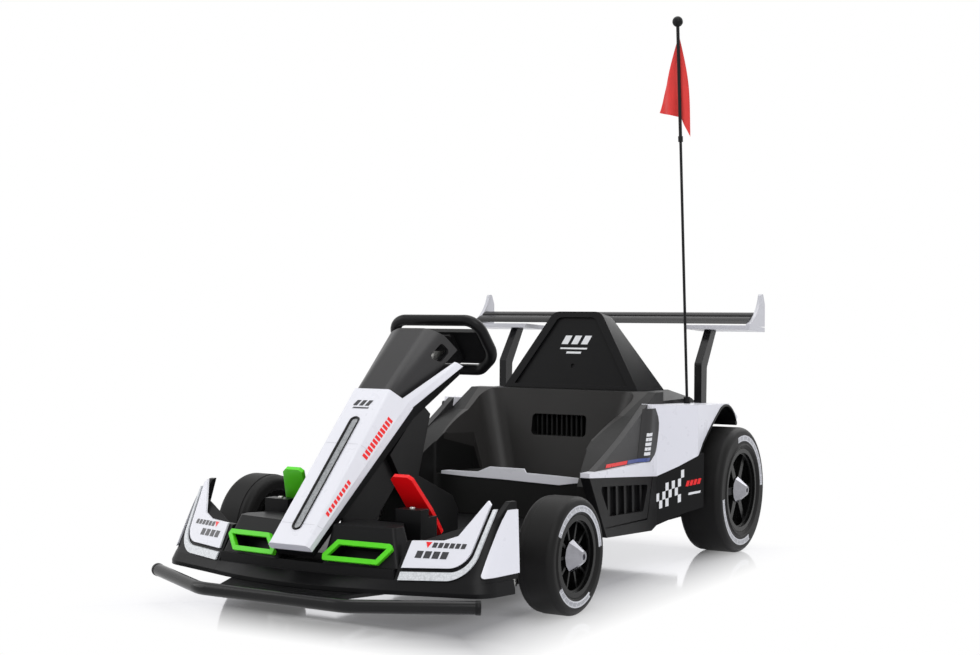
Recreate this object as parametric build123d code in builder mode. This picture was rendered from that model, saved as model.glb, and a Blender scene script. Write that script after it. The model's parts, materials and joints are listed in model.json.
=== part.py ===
from build123d import *
import os
from math import cos, radians, sin, tan

# A child's electric drift kart. It faces -Y, its left side is +X and +Z is up.
# The ground is z = 0, and x = 0 is the middle of the kart. All sizes are in millimetres.

os.makedirs("parts", exist_ok=True)

# Clearances
seat_gap = 0.3
shaft_clearance = 0.1
bearing_clearance = 0.3
bore_room = 4.0

# Body widths, from the middle of the kart outwards
body_half = 225.0
arch_depth = 13.0
kingpin_reach = 50.0
wheel_offset = 24.0
rear_wheel_gap = 20.0
core_inset = 65.0
core_half = body_half - core_inset
arch_floor_half = body_half - arch_depth
kingpin_x = arch_floor_half + kingpin_reach

# Front wheels
front_tyre_radius = 101.0
front_tyre_width = 73.0
front_tyre_shoulder = 13.0
front_sidewall = 30.0
front_wheel_inner_x = kingpin_x + wheel_offset
front_axle_y = -276.0
front_spoke_count = 10
front_spoke_width = 6.0
front_rim_radius = front_tyre_radius - front_sidewall

# Rear wheels
rear_tyre_radius = 135.0
rear_tyre_width = 99.0
rear_tyre_shoulder = 15.0
rear_sidewall = 45.0
rear_wheel_inner_x = body_half + rear_wheel_gap
rear_axle_y = 533.0
rear_spoke_count = 6
rear_spoke_width = 17.0
rear_rim_radius = rear_tyre_radius - rear_sidewall

# Tyre section
tread_step = 1.2
tread_step_share = 0.27
bead_chamfer = 4.0
bead_ridge = 2.0
bead_ridge_height = 3.0

# Rims and hub caps
rim_wall = 6.0
rim_flange_setback = 4.0
rim_flange_width = 7.0
rim_flange_height = 4.0
rim_step = 5.0
spoke_setback = 15.0
spoke_thickness = 9.0
spoke_taper = 0.72
dish_depth = 34.0
dish_thickness = 4.0
hub_radius = 26.0
cap_base_radius = 28.0
cap_tip_radius = 10.0
cap_height = 21.0
cap_recess_radius = 5.0
cap_recess_depth = 4.0
cap_facets = 12
cap_setback = 13.0

# Axles, knuckles and kingpins
stub_radius = 8.0
stub_collar = 5.0
rear_axle_radius = 8.0
kingpin_radius = 5.0
kingpin_nut = 8.5
kingpin_nut_height = 5.0
knuckle_radius = 12.0
knuckle_height = 58.0
fork_plate = 5.0
fork_half_width = 13.0
fork_gap = 0.5
back_plate_thickness = 5.0
back_plate_setback = 19.0
beam_width = 14.0
beam_height = 19.0

# Gearboxes with their motors
gearbox_radius = 46.0
gearbox_wall_gap = 4.0
gearbox_wheel_gap = 8.0
gearbox_room = 2.0
motor_radius = 32.0
motor_forward = 52.0
motor_rise = 34.0

# Steering linkage
arm_length = 52.0
arm_width = 14.0
arm_thickness = 6.0
arm_rise = 2.0
arm_boss_radius = 7.0
tie_pin_radius = 4.0
tie_rod_top_z = 59.0
tie_rod_thickness = 5.0
tie_rod_width = 16.0
tongue_half = 46.0
crank_reach = 38.0
crank_thickness = 4.0
crank_top_z = 73.0
crank_boss_radius = 10.0
crank_pin_radius = 4.0
slot_clearance = 1.4
slot_travel = 6.0
drop_shaft_radius = 6.0
drop_shaft_tilt = 28.0
joint_ball_radius = 9.0

# Nose: it rises along a straight line from its tip
nose_tip_y = -615.0
nose_tip_z = 136.0
nose_slope = 45.6
nose_length = 340.0
nose_wall = 4.0
nose_tip_half = 36.0
nose_tip_depth = 16.0
nose_rear_half = 37.0
nose_edge_half = 60.0
nose_skirt_half = 64.0
nose_edge_depth = 34.0
nose_skirt_depth = 48.0
horn_reach = 134.0
light_start = 32.0
light_end = 272.0
light_width = 16.0
light_rim = 2.5
light_rim_height = 1.0

# Dash cover and the black pylon under the nose
dash_length = 165.0
dash_wall = 4.0
dash_top_half = 30.0
dash_side_half = 60.0
dash_skirt_half = 72.0
dash_drop = 17.0
pylon_reach = 140.0
pylon_depth = 26.0
hump_half = 48.0
hump_rear_y = -165.0
hump_front_y = -318.0

# Steering wheel and column, placed from the dash cover's rear edge
wheel_behind_dash = 117.7
wheel_below_dash = 44.8
joint_behind_dash = 11.7
joint_below_dash = 112.3
column_tilt = 32.5
column_radius = 9.0
wheel_tube_radius = 10.5
wheel_top_half = 92.0
wheel_top_v = 56.0
wheel_side_half = 104.0
wheel_side_v = -22.0
wheel_bottom_half = 66.0
wheel_bottom_v = -54.0
wheel_corner_radius = 32.0
wheel_heel_radius = 24.0
pad_half = 97.0
pad_top_gap = 12.0
pad_bottom_gap = 8.0
pad_thickness = 12.0
hub_box_half = 42.0
hub_box_depth = 14.0

# Floor
floor_z = 78.0
floor_thickness = 20.0
arch_floor_half_length = 138.0
floor_front_y = -545.0
floor_front_half = body_half - 55
floor_rear_y = 600.0
rear_floor_half = body_half + 7
boss_radius = 18.0
boss_height = 12.0

# Seat
seat_front_y = 28.0
seat_front_z = 193.0
seat_rise_y = 247.0
seat_rise_z = 305.0
seat_back_y = 335.0
seat_back_z = 350.0
seat_shelf_y = 372.0
seat_lip_y = 114.0
seat_lip_z = 178.0
seat_lip_half = body_half - 60
seat_pan_z = 150.0
seat_pan_half = body_half - 87
seat_brim_half = body_half - 17
seat_corner_radius = 42.0
grille_half = 66.0
grille_low_z = 250.0
grille_height = 46.0
grille_depth = 9.0
grille_slats = 11
slat_width = 4.0

# Rear body and fenders
deck_flat_half = body_half - 35
deck_edge_drop = 19.0
deck_bottom_z = 283.0
deck_rear_drop = 46.0
tail_y = 590.0
fender_rise = 52.0
fender_outer = 79.0
panel_front_depth = 20.0
lip_thickness = 4.0
lip_roll_radius = 5.0

# Side pods
pod_front_y = -13.0
pod_foot_y = 60.0
pod_top_z = 203.0
pod_bottom_z = 72.0
pod_step_y = 285.0
rocker_step_y = 262.0
pod_rear_y = 388.0
pod_flare = 87.0
louvre_count = 5
louvre_depth = 9.0
louvre_width = 9.0
louvre_pitch = 37.0
louvre_front_y = 30.0
louvre_rear_y = 244.0

# Headrest
headrest_base_half = body_half - 61
headrest_top_half = 58.0
headrest_base_y = 375.0
headrest_top_y = 412.0
headrest_top_z = 519.0
headrest_rear_y = 450.0
headrest_rear_half = body_half - 33
headrest_rim = 13.0
headrest_recess = 6.0
headrest_corner = 26.0

# Wing
wing_half = body_half + 122
wing_plate = 8.0
shelf_inner_x = body_half - 23
wing_line_z = 507.0
wing_front_y = 541.0
wing_rear_y = 637.0
strut_inset = 20.5
strut_width = 17.0
strut_foot_y = 510.0
strut_bend_z = 402.0

# Mast and flag
mast_inset = 21.0
mast_y = 450.0
mast_top = (218.0, 450.0, 1144.0)
mast_radius = 3.0
mast_collar_z = 891.0
mast_upper_radius = 3.6
mast_socket_radius = 7.0
mast_socket_height = 14.0
mast_ball_radius = 11.5
flag_half_thickness = 9.0
flag_top_z = 1113.0
flag_fly_z = 951.0
flag_fly_x = 175.0
flag_drop = 52.0

# Bumper
lip_bottom_z = 66.0
lip_edge_z = 73.0
corner_low_z = 88.0
corner_high_z = 212.0
lip_top_z = 104.0
pod_height = 61.0
bumper_half = 334.0
bumper_nose_y = -608.0
bumper_slope = 26.0
wall_thickness = 9.0
corner_round = 46.0
vent_depth = 26.0
vent_frame_width = 8.0
vent_frame_height = 8.0
bar_radius = 10.75
bar_z = 57.0
bar_centre_y = -657.25
bar_bend_x = 147.0
bar_bend_radius = 60.0
bar_end_x = 330.0
bar_end_y = -559.0
bar_plate = 6.0

# Pedals
pedal_x = 138.0
pedal_foot_y = -392.0
pedal_foot_z = 144.0
pedal_lean = 33.7
pedal_thickness = 8.0
pedal_box_top = 172.0
pedal_box_rear = 25.0

# Places worked out from the sizes above
front_face_x = front_wheel_inner_x + front_tyre_width
rear_face_x = rear_wheel_inner_x + rear_tyre_width
floor_top = floor_z + floor_thickness
panel_inner_x = body_half + seat_gap
fender_outer_x = body_half + fender_outer
ridge_z = 2 * rear_tyre_radius + fender_rise
ridge_front_y = pod_step_y + 15
deck_rear_z = seat_back_z - deck_rear_drop


def slope_plane(distance):
    """A plane square to the line of the nose, with its y axis pointing down into the nose."""
    run = cos(radians(nose_slope))
    rise = sin(radians(nose_slope))
    return Plane(
        origin=(0, nose_tip_y + distance * run, nose_tip_z + distance * rise),
        x_dir=(1, 0, 0),
        z_dir=(0, run, rise),
    )


def slope_point(distance, depth):
    """The y and z of a point along the line of the nose and so deep below it."""
    run = cos(radians(nose_slope))
    rise = sin(radians(nose_slope))
    return (nose_tip_y + distance * run + depth * rise, nose_tip_z + distance * rise - depth * run)


def arch_point(angle, gap):
    """The y and z of a point round the rear axle, a gap outside the tyre's tread."""
    reach = rear_tyre_radius + gap
    return (rear_axle_y + reach * cos(radians(angle)), rear_tyre_radius + reach * sin(radians(angle)))


def save(part, name):
    """Labels a part and writes its file."""
    part.label = name
    export_step(part, f"parts/{name}.step")


# Wheels
wheel_rows = [
    # corner, tyre radius, width, shoulder, rim radius, inner x, axle y, spokes, spoke width, axle, side
    ("front_left", front_tyre_radius, front_tyre_width, front_tyre_shoulder, front_rim_radius,
     front_wheel_inner_x, front_axle_y, front_spoke_count, front_spoke_width, stub_radius, 1),
    ("front_right", front_tyre_radius, front_tyre_width, front_tyre_shoulder, front_rim_radius,
     front_wheel_inner_x, front_axle_y, front_spoke_count, front_spoke_width, stub_radius, -1),
    ("rear_left", rear_tyre_radius, rear_tyre_width, rear_tyre_shoulder, rear_rim_radius,
     rear_wheel_inner_x, rear_axle_y, rear_spoke_count, rear_spoke_width, rear_axle_radius, 1),
    ("rear_right", rear_tyre_radius, rear_tyre_width, rear_tyre_shoulder, rear_rim_radius,
     rear_wheel_inner_x, rear_axle_y, rear_spoke_count, rear_spoke_width, rear_axle_radius, -1),
]

for corner, tyre_r, tyre_w, shoulder, rim_r, inner_x, axle_y, spokes, spoke_w, axle_r, side in wheel_rows:
    # Profiles are drawn with x along the axle, outwards, and y as the radius.
    section = Plane(origin=(side * inner_x, axle_y, tyre_r), x_dir=(side, 0, 0), z_dir=(0, side, 0))
    spin = Axis((0, axle_y, tyre_r), (1, 0, 0))
    bead_r = rim_r + seat_gap
    step_x = tread_step_share * tyre_w
    ridge_r = bead_r + bead_chamfer + bead_ridge_height

    with BuildPart() as tyre:
        with BuildSketch(section):
            with BuildLine():
                Polyline(
                    (0, bead_r + bead_chamfer), (bead_chamfer, bead_r), (tyre_w - bead_chamfer, bead_r),
                    (tyre_w - bead_ridge, bead_r + bead_chamfer - 1), (tyre_w, ridge_r),
                    (tyre_w - bead_ridge, ridge_r + bead_ridge_height),
                    (tyre_w - 0.6 * bead_ridge, tyre_r - shoulder),
                )
                ThreePointArc(
                    (tyre_w - 0.6 * bead_ridge, tyre_r - shoulder),
                    (tyre_w - 0.32 * shoulder, tyre_r - 0.32 * shoulder),
                    (tyre_w - shoulder, tyre_r),
                )
                Polyline((tyre_w - shoulder, tyre_r), (step_x, tyre_r), (step_x, tyre_r - tread_step),
                         (shoulder, tyre_r - tread_step))
                ThreePointArc(
                    (shoulder, tyre_r - tread_step),
                    (0.3 * shoulder, tyre_r - tread_step - 0.3 * shoulder),
                    (0, tyre_r - tread_step - shoulder),
                )
                Line((0, tyre_r - tread_step - shoulder), (0, bead_r + bead_chamfer))
            make_face()
        revolve(axis=spin)
    save(tyre.part, f"tyre_{corner}")

    outer = tyre_w - rim_flange_setback
    flange_r = rim_r - rim_flange_height - rim_wall
    spoke_root = hub_radius - 3
    spoke_end = rim_r - rim_wall + 1
    face_plane = Plane(
        origin=(side * (inner_x + tyre_w), axle_y, tyre_r), x_dir=(0, 1, 0), z_dir=(-side, 0, 0)
    )
    with BuildPart() as rim:
        with BuildSketch(section):
            Polygon(
                (rim_flange_setback, flange_r), (rim_flange_setback, rim_r - seat_gap),
                (outer, rim_r - seat_gap), (outer, flange_r), (outer - rim_flange_width, flange_r),
                (outer - rim_flange_width - 1, flange_r - rim_step / 2),
                (outer - rim_flange_width - rim_step, flange_r - rim_step / 2),
                (outer - rim_flange_width - rim_step - 1, rim_r - rim_wall),
                (rim_flange_setback + 8, rim_r - rim_wall),
                align=None,
            )
            Polygon(
                (tyre_w - dish_depth - dish_thickness, axle_r + 2), (tyre_w - dish_depth, axle_r + 2),
                (tyre_w - dish_depth, rim_r - 1), (tyre_w - dish_depth - dish_thickness, rim_r - 1),
                align=None,
            )
            Polygon(
                (rim_flange_setback, axle_r + shaft_clearance),
                (tyre_w - cap_setback - seat_gap, axle_r + shaft_clearance),
                (tyre_w - cap_setback - seat_gap, hub_radius),
                (rim_flange_setback, hub_radius - 4),
                align=None,
            )
        revolve(axis=spin)
        # Spokes widen from the rim towards the hub
        with BuildSketch(face_plane.offset(spoke_setback)):
            with PolarLocations(0, spokes):
                Polygon((spoke_root, -spoke_w / 2), (spoke_end, -spoke_taper * spoke_w / 2),
                        (spoke_end, spoke_taper * spoke_w / 2), (spoke_root, spoke_w / 2), align=None)
        extrude(amount=spoke_thickness)
    save(rim.part, f"rim_{corner}")

    with BuildPart() as hub_cap:
        with BuildSketch(face_plane.offset(cap_setback)):
            RegularPolygon(cap_base_radius, cap_facets)
        with BuildSketch(face_plane.offset(cap_setback - cap_height)):
            RegularPolygon(cap_tip_radius, cap_facets)
        loft(ruled=True)
        with BuildSketch(face_plane.offset(cap_setback - cap_height)):
            Circle(cap_recess_radius)
        extrude(amount=cap_recess_depth, mode=Mode.SUBTRACT)
    save(hub_cap.part, f"hub_cap_{corner}")


# Rear axle
axle_end_x = rear_face_x - cap_setback - 2
with BuildPart() as rear_axle:
    with Locations(Plane(origin=(0, rear_axle_y, rear_tyre_radius), z_dir=(1, 0, 0))):
        Cylinder(rear_axle_radius, 2 * axle_end_x)
save(rear_axle.part, "rear_axle")

# Gearboxes with their motors, one inside each rear wheel
gearbox_outer_x = rear_wheel_inner_x - gearbox_wheel_gap
gearbox_inner_x = core_half + gearbox_wall_gap
motor_y = rear_axle_y - motor_forward
motor_z = rear_tyre_radius + motor_rise
with BuildPart() as gearboxes:
    with BuildSketch(Plane.YZ.offset(gearbox_inner_x)):
        with Locations((rear_axle_y, rear_tyre_radius)):
            Circle(gearbox_radius)
        with Locations((motor_y, motor_z)):
            Circle(motor_radius)
        Polygon((motor_y, motor_z - motor_radius), (rear_axle_y, rear_tyre_radius - gearbox_radius),
                (rear_axle_y, rear_tyre_radius + gearbox_radius), (motor_y, motor_z + motor_radius),
                align=None)
        with Locations((rear_axle_y, rear_tyre_radius)):
            Circle(rear_axle_radius + seat_gap, mode=Mode.SUBTRACT)
    extrude(amount=gearbox_outer_x - gearbox_inner_x)
    mirror(about=Plane.YZ)
save(gearboxes.part, "gearboxes")

# Front axle beam with a fork and a kingpin at each end
knuckle_bottom_z = front_tyre_radius - knuckle_height / 2
fork_low_z = knuckle_bottom_z - fork_gap
fork_top_z = knuckle_bottom_z + knuckle_height + fork_gap
back_plate_x = kingpin_x - back_plate_setback
beam_low_z = floor_z - seat_gap - beam_height
with BuildPart() as front_axle_beam:
    with Locations((0, front_axle_y, beam_low_z)):
        Box(2 * back_plate_x, beam_width, beam_height, align=(Align.CENTER, Align.CENTER, Align.MIN))
    for low in (fork_low_z - fork_plate, fork_top_z):
        with BuildSketch(Plane.XY.offset(low)):
            with Locations(((back_plate_x + kingpin_x) / 2, front_axle_y)):
                Rectangle(kingpin_x - back_plate_x, 2 * fork_half_width)
            with Locations((kingpin_x, front_axle_y)):
                Circle(fork_half_width)
        extrude(amount=fork_plate)
    with Locations((back_plate_x, front_axle_y, beam_low_z)):
        Box(back_plate_thickness, 2 * fork_half_width, fork_top_z + fork_plate - beam_low_z,
            align=(Align.MAX, Align.CENTER, Align.MIN))
    with BuildSketch(Plane.XY.offset(fork_low_z - fork_plate - kingpin_nut_height)):
        with Locations((kingpin_x, front_axle_y)):
            Circle(kingpin_radius)
    extrude(amount=fork_top_z - fork_low_z + 2 * fork_plate + 2 * kingpin_nut_height)
    with BuildSketch(Plane.XY.offset(fork_top_z + fork_plate)):
        with Locations((kingpin_x, front_axle_y)):
            RegularPolygon(kingpin_nut, 6)
    extrude(amount=kingpin_nut_height)
    mirror(about=Plane.YZ)
save(front_axle_beam.part, "front_axle_beam")

# Knuckles: a barrel on the kingpin, a stub axle for the wheel and a steering arm to the front
arm_y = front_axle_y - arm_length
arm_low_z = knuckle_bottom_z + arm_rise
tie_rod_low_z = tie_rod_top_z - tie_rod_thickness
for name, side in (("knuckle_left", 1), ("knuckle_right", -1)):
    with BuildPart() as knuckle:
        with BuildSketch(Plane.XY.offset(knuckle_bottom_z)):
            with Locations((side * kingpin_x, front_axle_y)):
                Circle(knuckle_radius)
        extrude(amount=knuckle_height)
        with BuildSketch(Plane.YZ.offset(side * kingpin_x)):
            with Locations((front_axle_y, front_tyre_radius)):
                Circle(stub_radius)
        extrude(amount=side * (front_face_x - cap_setback - 2 - kingpin_x))
        with BuildSketch(Plane.YZ.offset(side * kingpin_x)):
            with Locations((front_axle_y, front_tyre_radius)):
                Circle(stub_radius + stub_collar)
        extrude(amount=side * (front_wheel_inner_x + rim_flange_setback - seat_gap - kingpin_x))
        with BuildSketch(Plane.XY.offset(arm_low_z)):
            with Locations((side * kingpin_x, (front_axle_y + arm_y) / 2)):
                Rectangle(arm_width, arm_length)
            with Locations((side * kingpin_x, arm_y)):
                Circle(arm_boss_radius)
        extrude(amount=arm_thickness)
        with BuildSketch(Plane.XY.offset(tie_rod_top_z + seat_gap)):
            with Locations((side * kingpin_x, arm_y)):
                Circle(arm_boss_radius)
        extrude(amount=arm_low_z - tie_rod_top_z - seat_gap)
        with BuildSketch(Plane.XY.offset(tie_rod_low_z - 4)):
            with Locations((side * kingpin_x, arm_y)):
                Circle(tie_pin_radius)
        extrude(amount=tie_rod_thickness + 6)
        with BuildSketch(Plane.XY.offset(knuckle_bottom_z)):
            with Locations((side * kingpin_x, front_axle_y)):
                Circle(kingpin_radius + shaft_clearance)
        extrude(amount=knuckle_height, mode=Mode.SUBTRACT)
    save(knuckle.part, name)

# Lower steering shaft: it leans forward under the nose and ends in a crank below the floor
dash_end = nose_length + dash_length
dash_rear_y, dash_rear_z = slope_point(dash_end, 0)
joint_y = dash_rear_y + joint_behind_dash
joint_z = dash_rear_z - joint_below_dash
lean = radians(drop_shaft_tilt)
down = Vector(0, -sin(lean), -cos(lean))
joint_point = Vector(0, joint_y, joint_z)
crank_low_z = crank_top_z - crank_thickness
shaft_length = (joint_z - crank_low_z) / cos(lean)
shaft_foot = joint_point + down * shaft_length
shaft_plane = Plane(origin=joint_point, x_dir=(1, 0, 0), z_dir=down)
crank_tip_y = shaft_foot.Y - crank_reach
pin_span = (crank_top_z - tie_rod_low_z + 6) / cos(lean)
pin_top = Vector(0, crank_tip_y + crank_thickness * tan(lean), crank_top_z - 1)
pin_plane = Plane(origin=pin_top, x_dir=(1, 0, 0), z_dir=down)
with BuildPart() as drop_shaft:
    with BuildSketch(shaft_plane):
        Circle(drop_shaft_radius)
    extrude(amount=shaft_length + 4)
    split(bisect_by=Plane.XY.offset(crank_low_z), keep=Keep.TOP)
    with Locations(joint_point):
        Sphere(joint_ball_radius)
    with BuildSketch(Plane.XY.offset(crank_low_z)):
        with Locations((0, shaft_foot.Y)):
            Circle(crank_boss_radius)
        with Locations((0, (shaft_foot.Y + crank_tip_y) / 2)):
            Rectangle(arm_width, crank_reach)
        with Locations((0, crank_tip_y)):
            Circle(crank_pin_radius + 5)
    extrude(amount=crank_thickness)
    with BuildSketch(pin_plane):
        Circle(crank_pin_radius)
    extrude(amount=pin_span)
save(drop_shaft.part, "drop_shaft")

# Tie rod: a bar between the steering arms with a tongue for the crank pin
pin_at_rod_y = crank_tip_y - (crank_low_z - (tie_rod_top_z + tie_rod_low_z) / 2) * tan(lean)
slot_centre = Vector(0, crank_tip_y, crank_low_z)
with BuildPart() as tie_rod:
    with BuildSketch(Plane.XY.offset(tie_rod_low_z)):
        with Locations((0, arm_y)):
            Rectangle(2 * kingpin_x, tie_rod_width)
        with Locations((kingpin_x, arm_y), (-kingpin_x, arm_y)):
            Circle(tie_rod_width / 2)
        Polygon((-tongue_half, arm_y), (tongue_half, arm_y), (20, pin_at_rod_y - 12),
                (12, pin_at_rod_y - 18), (-12, pin_at_rod_y - 18), (-20, pin_at_rod_y - 12), align=None)
        with Locations((kingpin_x, arm_y), (-kingpin_x, arm_y)):
            Circle(tie_pin_radius + shaft_clearance, mode=Mode.SUBTRACT)
        Polygon((-24, arm_y - 20), (24, arm_y - 20), (10, pin_at_rod_y + 28), (-10, pin_at_rod_y + 28),
                align=None, mode=Mode.SUBTRACT)
    extrude(amount=tie_rod_thickness)
    with BuildSketch(Plane(origin=slot_centre, x_dir=(0, cos(lean), -sin(lean)), z_dir=down)):
        with Locations((slot_travel / 2, 0)):
            SlotOverall(2 * (crank_pin_radius + slot_clearance) + slot_travel,
                        2 * (crank_pin_radius + slot_clearance))
    extrude(amount=60, mode=Mode.SUBTRACT)
save(tie_rod.part, "tie_rod")

# Steering wheel: a bent tube round a wide pad. Its plane faces the dash, with y up the wheel.
column_lean = radians(column_tilt)
column_axis = Vector(0, cos(column_lean), sin(column_lean))
wheel_centre = Vector(0, dash_rear_y + wheel_behind_dash, dash_rear_z - wheel_below_dash)
wheel_plane = Plane(origin=wheel_centre, x_dir=(1, 0, 0), z_dir=-column_axis)
column_reach = (wheel_centre - joint_point).length
pad_top_v = wheel_top_v - wheel_tube_radius - pad_top_gap
pad_bottom_v = wheel_bottom_v + wheel_tube_radius + pad_bottom_gap
with BuildPart() as steering_wheel:
    with BuildLine(wheel_plane) as wheel_path:
        FilletPolyline(
            (wheel_top_half, wheel_top_v), (wheel_side_half, wheel_side_v),
            (wheel_bottom_half, wheel_bottom_v), (-wheel_bottom_half, wheel_bottom_v),
            (-wheel_side_half, wheel_side_v), (-wheel_top_half, wheel_top_v),
            radius=(wheel_corner_radius, wheel_corner_radius, wheel_heel_radius, wheel_heel_radius,
                    wheel_corner_radius, wheel_corner_radius), close=True,
        )
    with BuildSketch(Plane(origin=wheel_path.line @ 0, z_dir=wheel_path.line % 0)):
        Circle(wheel_tube_radius)
    sweep(path=wheel_path.line)
    with BuildSketch(wheel_plane.offset(-pad_thickness / 2)) as pad_outline:
        Polygon((-pad_half, pad_top_v), (pad_half, pad_top_v), (pad_half, wheel_side_v - 6),
                (wheel_bottom_half + 6, pad_bottom_v), (-wheel_bottom_half - 6, pad_bottom_v),
                (-pad_half, wheel_side_v - 6), align=None)
        fillet(pad_outline.vertices(), 5)
    extrude(amount=pad_thickness)
    with BuildSketch(wheel_plane.offset(pad_thickness / 2 - 1)) as hub_outline:
        Polygon((-hub_box_half, pad_bottom_v + 4), (hub_box_half, pad_bottom_v + 4),
                (hub_box_half - 8, pad_top_v - 3), (8 - hub_box_half, pad_top_v - 3), align=None)
        fillet(hub_outline.vertices(), 8)
    extrude(amount=hub_box_depth - pad_thickness / 2 + 1)
save(steering_wheel.part, "steering_wheel")

with BuildPart() as steering_column:
    with BuildSketch(wheel_plane.offset(hub_box_depth + seat_gap)):
        Circle(column_radius)
    extrude(amount=column_reach - hub_box_depth - seat_gap - joint_ball_radius - 1)
save(steering_column.part, "steering_column")

# Floor: a moulded tray that narrows between the steered wheels
arch_front_y = front_axle_y - arch_floor_half_length
arch_rear_y = front_axle_y + arch_floor_half_length
boss_y = shaft_foot.Y + (floor_top - crank_low_z) * tan(lean)
pedal_box_y = pedal_foot_y - 27.3
with BuildPart() as floor_tub:
    with BuildSketch(Plane.XY.offset(floor_z)):
        Polygon(
            (0, floor_front_y), (floor_front_half, floor_front_y), (body_half - 1, arch_front_y - 30),
            (arch_floor_half, arch_front_y), (arch_floor_half, arch_rear_y),
            (body_half - 1, arch_rear_y + 60), (body_half - 1, pod_step_y),
            (rear_floor_half, pod_rear_y + 12), (rear_floor_half, floor_rear_y - 20),
            (rear_floor_half - 20, floor_rear_y), (0, floor_rear_y),
            align=None,
        )
        mirror(about=Plane.YZ)
    extrude(amount=floor_thickness)
    # The lower shaft turns in a boss on the floor.
    with BuildSketch(Plane.XY.offset(floor_top)):
        with Locations((0, boss_y)):
            Circle(boss_radius)
    extrude(amount=boss_height)
    with BuildSketch(shaft_plane):
        Circle(drop_shaft_radius + bearing_clearance)
    extrude(amount=shaft_length + 100, mode=Mode.SUBTRACT)
    # A stepped seat for each pedal
    for side in (1, -1):
        with BuildSketch(Plane.XY.offset(floor_top)):
            with Locations((side * pedal_x, pedal_box_y)):
                Rectangle(50, 50, align=(Align.CENTER, Align.MAX))
        extrude(amount=pedal_box_top - floor_top)
        with BuildSketch(Plane.XY.offset(floor_top)):
            with Locations((side * pedal_x, pedal_box_y - pedal_box_rear)):
                Rectangle(50, 25, align=(Align.CENTER, Align.MAX))
        extrude(amount=pedal_box_top + 14 - floor_top)
    # Room for the gearboxes
    for side in (1, -1):
        with BuildSketch(Plane.XY.offset(floor_z)):
            with Locations((side * (gearbox_inner_x - gearbox_room), rear_axle_y - gearbox_radius - 10)):
                Rectangle(rear_floor_half, floor_rear_y - floor_front_y,
                          align=(Align.MIN if side > 0 else Align.MAX, Align.MIN))
        extrude(amount=floor_thickness, mode=Mode.SUBTRACT)
save(floor_tub.part, "floor_tub")

# Seat: one moulded bucket with side bolsters that run forward past the front lip
with BuildPart() as seat_bucket:
    with BuildSketch(Plane.YZ):
        with BuildLine():
            Polyline((seat_front_y, floor_top + seat_gap), (seat_front_y, seat_front_z - 12),
                     (seat_front_y + 10, seat_front_z))
            ThreePointArc((seat_front_y + 10, seat_front_z),
                          ((seat_front_y + seat_rise_y) / 2 - 4, (seat_front_z + seat_rise_z) / 2 + 10),
                          (seat_rise_y, seat_rise_z))
            Polyline((seat_rise_y, seat_rise_z), (seat_back_y, seat_back_z), (seat_shelf_y, seat_back_z),
                     (seat_shelf_y, floor_top + seat_gap), (seat_front_y, floor_top + seat_gap))
        make_face()
    extrude(amount=body_half, both=True)
    # The footwell reaches in to the seat's front lip.
    with BuildSketch(Plane.XY.offset(floor_top)) as well_outline:
        Polygon((-body_half + 20, seat_front_y - 30), (body_half - 20, seat_front_y - 30),
                (seat_lip_half + 12, seat_lip_y), (-seat_lip_half - 12, seat_lip_y), align=None)
        fillet(well_outline.vertices().sort_by(Axis.Y)[2:4], 14)
    extrude(amount=300, mode=Mode.SUBTRACT)
    # The front lip is lower than the bolsters.
    with BuildSketch(Plane.XY.offset(seat_lip_z)) as low_outline:
        Polygon((-seat_lip_half - 10, seat_lip_y - 5), (seat_lip_half + 10, seat_lip_y - 5),
                (seat_lip_half, seat_rise_y), (-seat_lip_half, seat_rise_y), align=None)
    extrude(amount=300, mode=Mode.SUBTRACT)
    with BuildSketch(Plane.XY.offset(seat_pan_z)) as pan_outline:
        Polygon((-seat_pan_half, seat_lip_y + 34), (seat_pan_half, seat_lip_y + 34),
                (seat_pan_half - 8, seat_back_y - 27), (8 - seat_pan_half, seat_back_y - 27), align=None)
        fillet(pan_outline.vertices(), seat_corner_radius)
    with BuildSketch(Plane.XY.offset(seat_back_z + 10)) as brim_outline:
        Polygon((-seat_brim_half, seat_lip_y - 40), (seat_brim_half, seat_lip_y - 40),
                (seat_brim_half - 18, seat_back_y + 5), (18 - seat_brim_half, seat_back_y + 5), align=None)
        fillet(brim_outline.vertices(), seat_corner_radius)
    loft(mode=Mode.SUBTRACT)
    # A grille in the back: a shallow pocket crossed by upright slats
    with BuildSketch(Plane.XZ.offset(-seat_back_y - 20)) as grille_outline:
        with Locations((0, grille_low_z + grille_height / 2)):
            RectangleRounded(2 * grille_half, grille_height, 9)
    extrude(amount=60, mode=Mode.SUBTRACT)
    with BuildSketch(Plane.XZ.offset(-seat_back_y - 21)):
        with Locations((0, grille_low_z + grille_height / 2)):
            with GridLocations(2 * grille_half / grille_slats, 1, grille_slats, 1):
                Rectangle(slat_width, grille_height + 2)
    extrude(amount=grille_depth + 6)
save(seat_bucket.part, "seat_bucket")

with BuildPart() as seat_lip_trim:
    with BuildSketch(Plane.XY.offset(seat_lip_z + seat_gap)):
        Polygon((-seat_lip_half, seat_lip_y), (seat_lip_half, seat_lip_y),
                (seat_lip_half - 6, seat_lip_y + 20), (6 - seat_lip_half, seat_lip_y + 20), align=None)
    extrude(amount=6)
save(seat_lip_trim.part, "seat_lip_trim")

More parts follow.
